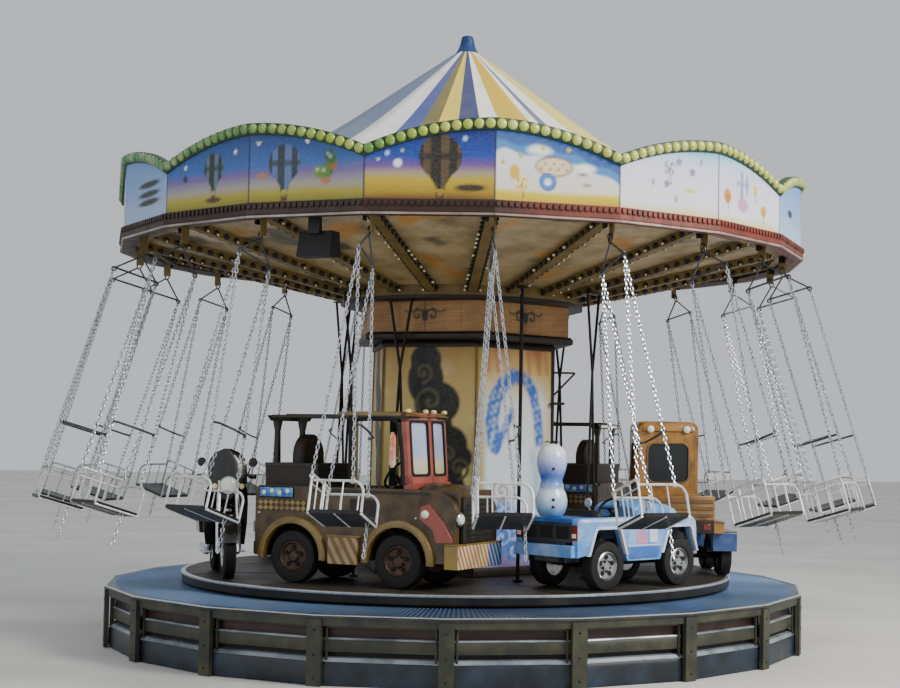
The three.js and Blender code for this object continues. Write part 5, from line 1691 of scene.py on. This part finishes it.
def openCarDetails(place):
    made = Shape(place)
    half, deck = openCar["half"], openCar["deck"]
    for hand in (-1, 1):
        y0, y1 = hand * (half - 0.008), hand * (half + 0.003)
        # A white strip along the top edge of each side: a painted highlight on the rounded edge.
        made.prism([(-0.62, deck - 0.022), (-0.6, deck - 0.012), (0.55, deck - 0.012), (0.6, deck - 0.03),
            (0.55, deck - 0.034), (-0.6, deck - 0.034)], y0, y1, "white")
        made.prism([(-0.105, 0.215), (-0.145, 0.3), (0.235, 0.3), (0.205, 0.215)], y0, y1, "deep")
        made.box((-0.03, y0, 0.32), (0.09, y1, 0.42), "pink")
        made.prism([(-0.12, 0.305), (-0.125, 0.315), (0.22, 0.315), (0.217, 0.305)], y0,
            hand * (half + 0.005), "white")
        made.box((0.11, y0, 0.33), (0.2, y1, 0.46), "white")
        for x in openCar["axles"]:
            rim = [(x + 0.215, 0.25), (x + 0.205, 0.262), (x + 0.142, 0.436), (x + 0.114, 0.456),
                (x - 0.114, 0.456), (x - 0.142, 0.436), (x - 0.205, 0.262), (x - 0.215, 0.25),
                (x - 0.187, 0.25), (x - 0.122, 0.424), (x - 0.104, 0.434), (x + 0.104, 0.434),
                (x + 0.122, 0.424), (x + 0.187, 0.25)]
            made.prism(rim, hand * (half - 0.02), hand * (half + 0.014), "white")
        made.boxes((-0.656, hand * 0.275 - 0.03, 0.36, -0.642, hand * 0.275 + 0.03, 0.47, "lamp"),
            (-0.659, hand * 0.275 - 0.02, 0.38, -0.65, hand * 0.275 + 0.02, 0.41, "glass"))
        made.turned([(0, 0), (0.044, 0), (0.048, 0.012), (0.04, 0.018), (0, 0.018)], 18, "grey",
            (0.647, hand * 0.2, 0.42), ahead)
        made.turned([(0, 0.014), (0.036, 0.016), (0.028, 0.026), (0, 0.03)], 16, "glass",
            (0.647, hand * 0.2, 0.42), ahead)
        made.box((0.16, hand * 0.26 - 0.012, deck), (0.3, hand * 0.26 + 0.012, deck + 0.01), "dark")
        stalk = [(0.09, hand * 0.262, deck), (0.09, hand * 0.3, deck + 0.06)]
        made.rod(*stalk, 0.006, 6, "grey")
        made.turned([(0, 0), (0.034, 0), (0.036, 0.012), (0, 0.02)], 14, "white",
            (0.09, hand * 0.3, deck + 0.075), ahead)
    # The dark blue-grey rear face is painted shade.
    made.box((-0.653, -0.238, 0.345), (-0.644, 0.238, 0.485), "rear")
    for y in (-0.16, 0.0, 0.16):
        made.box((-0.657, y - 0.06, 0.37), (-0.65, y + 0.06, 0.46), "dark")
    for k in range(5):
        made.box((0.644, -0.13, 0.35 + 0.027 * k), (0.655, 0.13, 0.364 + 0.027 * k), "dark")
    for x0, x1, z0, z1, w, hue in ((-0.694, -0.645, 0.243, 0.328, 0.288, "blue"),
            (0.645, 0.694, 0.223, 0.318, 0.278, "grey")):
        made.box((x0, -w, z0), (x1, w, z1), hue)
    for y in (-0.15, 0.15):
        made.boxes((-0.66, y - 0.02, 0.2, -0.62, y + 0.02, 0.26, "dark"),
            (0.62, y - 0.02, 0.2, 0.66, y + 0.02, 0.25, "dark"))
    made.pad((-0.325, -0.2), (-0.13, 0.2), 0.03, [(0.326, 0.0), (0.36, 0.0), (0.375, 0.012)], "seat")
    made.loft([[(x, y, z) for y, z in roundedBox((-0.2 + i, 0.36), (0.2 - i, 0.56 - i), 0.05)]
        for x, i in ((-0.328, 0.01), (-0.32, 0.0), (-0.285, 0.0), (-0.27, 0.014))], "seat")
    steeringRing(made, (0, 0, 0.565), 0.085, "dark")
    made.rod((0.08, 0, 0.49), (0.0, 0, 0.565), 0.012, 8, "dark")
    for hand in (-1, 1):
        made.rod((0.0, hand * 0.08, 0.565), (0.0, 0, 0.565), 0.006, 6, "dark")
    return made


def figureShadedPicture(place):
    # White above, blue towards the foot of each ball: the blue is painted shade on the white figure.
    height = axisOf(place, "Z")
    share = spread(height, plan["platformTop"] + openCar["deck"], plan["platformTop"] + 1.045)
    uneven = calc("MULTIPLY_ADD", cloudiness(place, 9.0, 3.0), 0.16, calc("SUBTRACT", share, 0.08))
    return bands(uneven, [(0.0, "5f8fc4"), (0.14, "a9c8e6"), (0.32, "dfe8f2"), (0.46, "6f9ad2"),
        (0.55, "5a80cc"), (0.72, "b9c4ea"), (0.9, "eef0f4"), (1.0, "f4f4f4")], True)


figurePaint = surface("figure paint", "dfe6f2", rough=0.3, coat=0.5, picture=figureShadedPicture, wear=0.0,
    bump=0.05)
leafDark = surface("dark leaves", "2c3330", "4a5650", 0.5, 20, 0.5)
buttonGrey = surface("figure buttons", "3a3a44", "565a66", 0.4, 30, 0.4)


def snowFigure(place):
    deck = openCar["deck"]
    profile = [(r, deck + h) for r, h in ((0, 0.0005), (0.079, 0.0005), (0.1, 0.03), (0.114, 0.075),
        (0.115, 0.12), (0.103, 0.165), (0.088, 0.192), (0.086, 0.2), (0.088, 0.21), (0.083, 0.235),
        (0.076, 0.252), (0.083, 0.275), (0.099, 0.325), (0.11, 0.375), (0.107, 0.42), (0.095, 0.462),
        (0.072, 0.494), (0.04, 0.512), (0, 0.52))]
    body = Shape(place)
    body.turned(profile, 36, at=(-0.575, 0.03, 0))
    makePiece("ball_figure", body, figurePaint, "snow_figure", angle=50)
    trim = Shape(place)
    for turn in (-0.5, 0.5, 2.6):
        way = Vector((cos(turn), sin(turn), 0))
        foot = Vector((-0.575, 0.03, deck + 0.508))
        across = Vector((-way.y, way.x, 0))
        rows = []
        for t, w in ((0, 0.008), (0.3, 0.02), (0.65, 0.022), (1, 0.003)):
            middle = foot + way * (0.055 * t) + Vector((0, 0, 0.025 * sin(t * 2.4)))
            rows.append([middle - across * w, middle + Vector((0, 0, 0.006)), middle + across * w,
                middle - Vector((0, 0, 0.003))])
        trim.loft(rows, "leaf")
    way = Vector((-0.62, -0.78, 0)).normalized()
    for z in (0.07, 0.12, 0.34):
        radius = float(np.interp(deck + z, [q[1] for q in profile], [q[0] for q in profile]))
        at = Vector((-0.575, 0.03, deck + z)) + way * (radius - 0.004)
        trim.turned([(0, 0), (0.013, 0), (0.012, 0.006), (0.006, 0.01), (0, 0.011)], 12, "button", at,
            tuple(way))
    makePiece("figure_trim", trim, {"leaf": leafDark, "button": buttonGrey})


def buildOpenCar(suffix, place):
    makePiece("open_car_shell" + suffix, openCarShell(place), carPaints,
        "open_car_body" + suffix, bevel=0.012, segments=3)
    makePiece("open_car_details" + suffix, openCarDetails(place), carPaints, bevel=0.004)
    runningGear("open_car_tyres" + suffix, "open_car_wheels" + suffix, place, openCar, hubAlloy)


frontCar = standAt(1.01, -1.386, 38)
buildOpenCar("", frontCar)
buildOpenCar("_rear", standAt(-1.01, 1.386, 218))
snowFigure(frontCar)
print("open cars made")

# Lorry with a hollow cab

lorryPaints = {
    "orange": surface("lorry orange", "b48a4a", "5c3f22", 0.85, 7, 0.4, coat=0.35),
    "gold": surface("lorry gold", "8c7044", "54462c", 0.6, 8, 0.4, coat=0.35),
    "blue": surface("lorry blue", "3a5f96", "7a8cac", 0.6, 8, 0.4, coat=0.3),
    # Near-black panes: painted shade for the dark inside of the cab.
    "glass": surface("window panes painted as shade", "1d2122", "2c3434", 0.5, 8, 0.12, coat=0.7, bump=0), "dark": blackPartsAndGapShade,
    "lamp": lampRed, "clear": lampGlass, "seat": seatBrown,
}
lorry = {
    "axles": (-0.33, 0.31), "track": 0.84, "radius": 0.16, "width": 0.1, "half": 0.3, "deck": 0.56,
    "cabHalf": 0.25, "cabTop": 1.235, "guard": 0.5,
}


def lorryBody(place):
    made = Shape(place)
    half = lorry["half"]
    made.box((-0.6, -half, 0.345), (0.6, half, 0.45), "seat")
    made.prism([(-0.16, 0.45), (-0.16, 0.558), (0.54, 0.558), (0.585, 0.53), (0.6, 0.48), (0.6, 0.45)],
        -half, half, "orange")
    for hand in (-1, 1):
        made.box((-0.6, hand * (half - 0.025), 0.45), (-0.175, hand * half, 0.64), "orange")
        for k in range(3):
            made.box((-0.59, hand * (half - 0.01), 0.475 + 0.055 * k),
                (-0.185, hand * (half + 0.006), 0.51 + 0.055 * k), "gold")
        made.boxes((-0.59, hand * 0.38 - 0.001, 0.345, 0.59, hand * 0.29, 0.435, "orange"),
            (-0.592, hand * 0.384 - 0.004, 0.425, 0.592, hand * 0.3, 0.441, "gold"))
        for x in lorry["axles"]:
            outline = [(x - 0.208, 0.202), (x - 0.208, 0.345), (x - 0.195, 0.358), (x + 0.195, 0.358),
                (x + 0.208, 0.345), (x + 0.208, 0.202)] + arc(x, lorry["radius"], 0.176, 13.8, 166.2, 12)
            made.prism(outline, hand * 0.3, hand * (lorry["guard"] - 0.002), "blue")
            made.prism([(x - 0.205, 0.352), (x - 0.2, 0.362), (x + 0.2, 0.362), (x + 0.205, 0.352)],
                hand * 0.3, hand * lorry["guard"], "gold")
        made.box((-0.603, hand * 0.24 - 0.03, 0.37), (-0.595, hand * 0.24 + 0.03, 0.42), "lamp")
        made.turned([(0, 0), (0.034, 0), (0.036, 0.012), (0.02, 0.02), (0, 0.022)], 16, "clear",
            (0.6, hand * 0.22, 0.47), ahead)
    made.boxes((-0.6, -half + 0.02, 0.45, -0.575, half - 0.02, 0.64, "orange"),
        (-0.2, -half + 0.02, 0.45, -0.176, half - 0.02, 0.64, "orange"),
        (-0.58, -half + 0.02, 0.448, -0.19, half - 0.02, 0.462, "dark"))
    for k in range(3):
        made.box((-0.607, -half + 0.01, 0.475 + 0.055 * k), (-0.595, half - 0.01, 0.51 + 0.055 * k), "gold")
    for k in range(4):
        made.box((0.594, -0.15, 0.45 + 0.022 * k), (0.604, 0.15, 0.461 + 0.022 * k), "dark")
    # A near-black block under the body: painted shade.
    made.box((-0.585, -0.145, 0.185), (0.585, 0.145, 0.346), "dark")
    return made


def lorryCab(place):
    made = Shape(place)
    low, top, half = lorry["deck"] + 0.0005, lorry["cabTop"], lorry["cabHalf"] - 0.001

    def wall(outer, window, points, spans, paint):
        # A wall with a round-cornered opening; points turns (across, up, depth) into a point.
        near, far = spans
        rows = [(near, outer), (far, outer), (far, window), (near, window)]
        made.loft([[points(a, b, d) for a, b in line] for d, line in rows], paint, loop=True)

    sideOuter = roundedBox((-0.15, low), (0.328, top - 0.03), 0.05, 5)
    sideWindow = roundedBox((-0.07, 0.74), (0.21, 1.05), 0.055, 5)
    endOuter = roundedBox((-half, low), (half, top - 0.03), 0.045, 5)
    frontWindow = roundedBox((-0.18, 0.74), (0.18, 1.05), 0.055, 5)
    rearWindow = roundedBox((-0.165, 0.74), (0.165, 1.05), 0.055, 5)
    for hand in (-1, 1):
        wall(sideOuter, sideWindow, lambda a, b, d, h=hand: (a, h * d, b), (half - 0.03, half), "orange")
        rim = roundedBox((-0.082, 0.728), (0.222, 1.062), 0.062, 5)
        wall(rim, sideWindow, lambda a, b, d, h=hand: (a, h * d, b), (half - 0.012, half + 0.006), "gold")
        made.rod((0.1, hand * (half + 0.004), 0.7), (0.16, hand * (half + 0.004), 0.7), 0.008, 8, "dark")
        made.box((-0.135, hand * (half - 0.01), 0.59), (0.3, hand * (half + 0.003), 0.72), "gold")
    wall(endOuter, frontWindow, lambda a, b, d: (d - (b - low) * 0.045, a, b), (0.298, 0.328), "orange")
    wall(endOuter, rearWindow, lambda a, b, d: (d, a, b), (-0.149, -0.12), "orange")
    rim = roundedBox((-0.178, 0.728), (0.178, 1.062), 0.062, 5)
    wall(rim, rearWindow, lambda a, b, d: (d, a, b), (-0.155, -0.135), "gold")
    # Near-black panes in the front and rear windows: painted shade.
    for x, lean, window in ((-0.132, 0.0, rearWindow), (0.31, 0.045, frontWindow)):
        made.loft([[(x + d - (z - low) * lean, y, z) for y, z in window] for d in (0.0, 0.004)], "glass")
    made.pad((-0.16, -half - 0.008), (0.325, half + 0.008), 0.06,
        [(1.145, 0.012), (1.155, 0.0), (1.19, 0.003), (1.22, 0.02), (top, 0.055)], "orange", 5)
    for y in (-0.15, 0.15):
        made.turned([(0, 0), (0.03, 0), (0.03, 0.012), (0.02, 0.02), (0, 0.024)], 12, "clear",
            (-0.16, y, 1.17), (-1, 0, 0))
    made.box((-0.14, -half + 0.03, 0.563), (0.29, half - 0.03, 0.575), "dark")
    made.pad((-0.11, -0.17), (0.06, 0.17), 0.03, [(0.575, 0.0), (0.61, 0.0), (0.625, 0.012)], "seat")
    steeringRing(made, (0.2, 0, 0.77), 0.09, "dark")
    made.rod((0.28, 0, 0.7), (0.2, 0, 0.77), 0.012, 8, "dark")
    return made


lorryPlace = standAt(1.7, -0.075, 88)
makePiece("lorry_chassis", lorryBody(lorryPlace), lorryPaints, "lorry_body", bevel=0.005)
makePiece("lorry_cabin", lorryCab(lorryPlace), lorryPaints, "lorry_cab", bevel=0.006)
runningGear("lorry_tyres", "lorry_wheels", lorryPlace, lorry, hubBrown)
print("lorry made")

# Motorcycle

bikePaints = {
    "tyre": tyreBlack, "hub": steel, "dark": blackPartsAndGapShade,
    "black": surface("bike black", "1c1b1b", "3c3834", 0.5, 14, 0.3, coat=0.6),
    "smoke": surface("smoked screen", "2c2e2a", "4a4a40", 0.6, 6, 0.2, coat=0.6, bump=0.0),
    "glass": lampGlass, "seat": seatBlack, "amber": lampAmber,
}


def motorcycle(place):
    made = Shape(place)
    for x in (-0.41, 0.41):
        addWheel(made, x, 0, 0.2, 0.088, 1, 6)
        addWheel(made, x, 0, 0.2, 0.088, -1, 6)
        rows = []
        for i in range(13):
            a = radians((20 if x > 0 else 15) + 140 * i / 12)
            rows.append([(x + r * cos(a), y, 0.2 + r * sin(a)) for r, y in ((0.215, -0.055), (0.228, -0.05),
                (0.24, 0), (0.228, 0.05), (0.215, 0.055), (0.22, 0))])
        made.loft(rows, "black")
    for hand in (-1, 1):
        made.tube([(0.41, hand * 0.075, 0.2), (0.36, hand * 0.075, 0.42), (0.285, hand * 0.06, 0.72)],
            0.016, 8, "hub")
        made.tube([(-0.41, hand * 0.07, 0.2), (-0.15, hand * 0.075, 0.22), (-0.05, hand * 0.075, 0.3)],
            0.014, 8, "black")
        made.tube([(-0.38, hand * 0.08, 0.22), (-0.3, hand * 0.085, 0.5)], 0.015, 8, "hub")
        pipe = curve([(0.08, hand * 0.09, 0.36), (0.12, hand * 0.11, 0.24), (0.0, hand * 0.115, 0.17),
            (-0.3, hand * 0.115, 0.17), (-0.52, hand * 0.115, 0.19)], 4)
        made.tube(pipe, [0.018] * (len(pipe) - 6) + [0.026] * 6, 8, "hub")
        shield = []
        for z, y, x in ((0.24, 0.145, 0.15), (0.4, 0.163, 0.13), (0.55, 0.163, 0.16), (0.66, 0.15, 0.2),
                (0.71, 0.12, 0.23)):
            shield.append([(x, hand * (y - 0.09), z), (x + 0.03, hand * y, z), (x + 0.012, hand * y, z),
                (x - 0.016, hand * (y - 0.09), z)])
        made.loft(shield, "black")
        made.box((-0.06, hand * 0.13 - 0.035, 0.175), (0.1, hand * 0.13 + 0.035, 0.188), "hub")
        grip = [(0.25, hand * 0.05, 0.73), (0.24, hand * 0.13, 0.765), (0.2, hand * 0.2, 0.75)]
        made.tube(curve(grip, 4), 0.011, 8, "hub")
        made.rod((0.205, hand * 0.165, 0.757), (0.185, hand * 0.215, 0.748), 0.017, 10, "dark")
        made.rod((0.23, hand * 0.15, 0.765), (0.22, hand * 0.185, 0.84), 0.005, 6, "hub")
        made.turned([(0, -0.01), (0.03, -0.01), (0.034, 0), (0.026, 0.006), (0, 0.006)], 14, "black",
            (0.22, hand * 0.19, 0.86), ahead)
        made.turned([(0, 0), (0.02, 0), (0.022, 0.016), (0.012, 0.026), (0, 0.028)], 12, "amber",
            (0.3, hand * 0.1, 0.68), ahead)
        made.loft([[(x, hand * y, z) for y, z in ((0.075, 0.3), (0.16, 0.31), (0.17, 0.42), (0.15, 0.5),
            (0.08, 0.5))] for x in (-0.46, -0.44, -0.2, -0.18)], "black")
    made.pad((-0.13, -0.085), (0.11, 0.085), 0.03, [(0.2, 0.01), (0.23, 0.0), (0.33, 0.0), (0.36, 0.015)],
        "dark")
    for k in range(5):
        made.pad((-0.08, -0.1), (0.1, 0.1), 0.03, [(0.36 + 0.022 * k, 0), (0.37 + 0.022 * k, 0)], "hub")
    made.pad((-0.06, -0.06), (0.08, 0.06), 0.03, [(0.355, 0), (0.48, 0)], "dark")
    tank = []
    for x, w, h in ((-0.1, 0.05, 0.03), (-0.06, 0.085, 0.06), (0.03, 0.11, 0.085), (0.12, 0.115, 0.09),
            (0.2, 0.09, 0.075), (0.24, 0.05, 0.04)):
        middle = 0.58 + (x + 0.1) * 0.12
        tank.append([(x, w * cos(t), middle + h * sin(t)) for t in fullTurn(14)])
    made.loft(tank, "black")
    saddle = []
    for x, w, z in ((-0.46, 0.05, 0.56), (-0.42, 0.1, 0.585), (-0.3, 0.11, 0.575), (-0.2, 0.12, 0.55),
            (-0.1, 0.11, 0.545), (-0.05, 0.07, 0.565)):
        saddle.append([(x, -w, z - 0.05), (x, -w, z - 0.015), (x, -w * 0.7, z), (x, w * 0.7, z),
            (x, w, z - 0.015), (x, w, z - 0.05)])
    made.loft(saddle, "seat")
    made.tube([(-0.44, 0, 0.5), (-0.2, 0, 0.48), (0.1, 0, 0.52), (0.26, 0, 0.68)], 0.022, 8, "black")
    made.turned([(0, 0), (0.05, 0.0), (0.064, 0.03), (0.066, 0.085), (0.06, 0.1), (0, 0.1)], 22, "black",
        (0.235, 0, 0.69), ahead)
    made.turned([(0, 0.092), (0.058, 0.094), (0.06, 0.104), (0.045, 0.114), (0, 0.12)], 22, "glass",
        (0.235, 0, 0.69), ahead)
    made.tube([(0.338, 0.063 * cos(t), 0.69 + 0.063 * sin(t)) for t in fullTurn(22)], 0.006, 6, "hub",
        loop=True)
    rows = []
    for i in range(11):
        t = i / 10
        z = 0.7 + 0.262 * t
        w = 0.145 * (1 if t < 0.45 else sqrt(max(0.03, 1 - ((t - 0.45) / 0.55) ** 2)))
        lean = 0.29 - 0.05 * t
        rows.append([(lean - 0.03 * s * s, w * s, z) for s in np.linspace(-1, 1,
            9)] + [(lean - 0.012 - 0.03 * s * s, w * s, z) for s in np.linspace(1, -1, 9)])
    made.loft(rows, "smoke")
    return made


makePiece("road_motorcycle", motorcycle(standAt(-1.85, -0.64, -80)), bikePaints, "motorcycle")
print("motorcycle made")
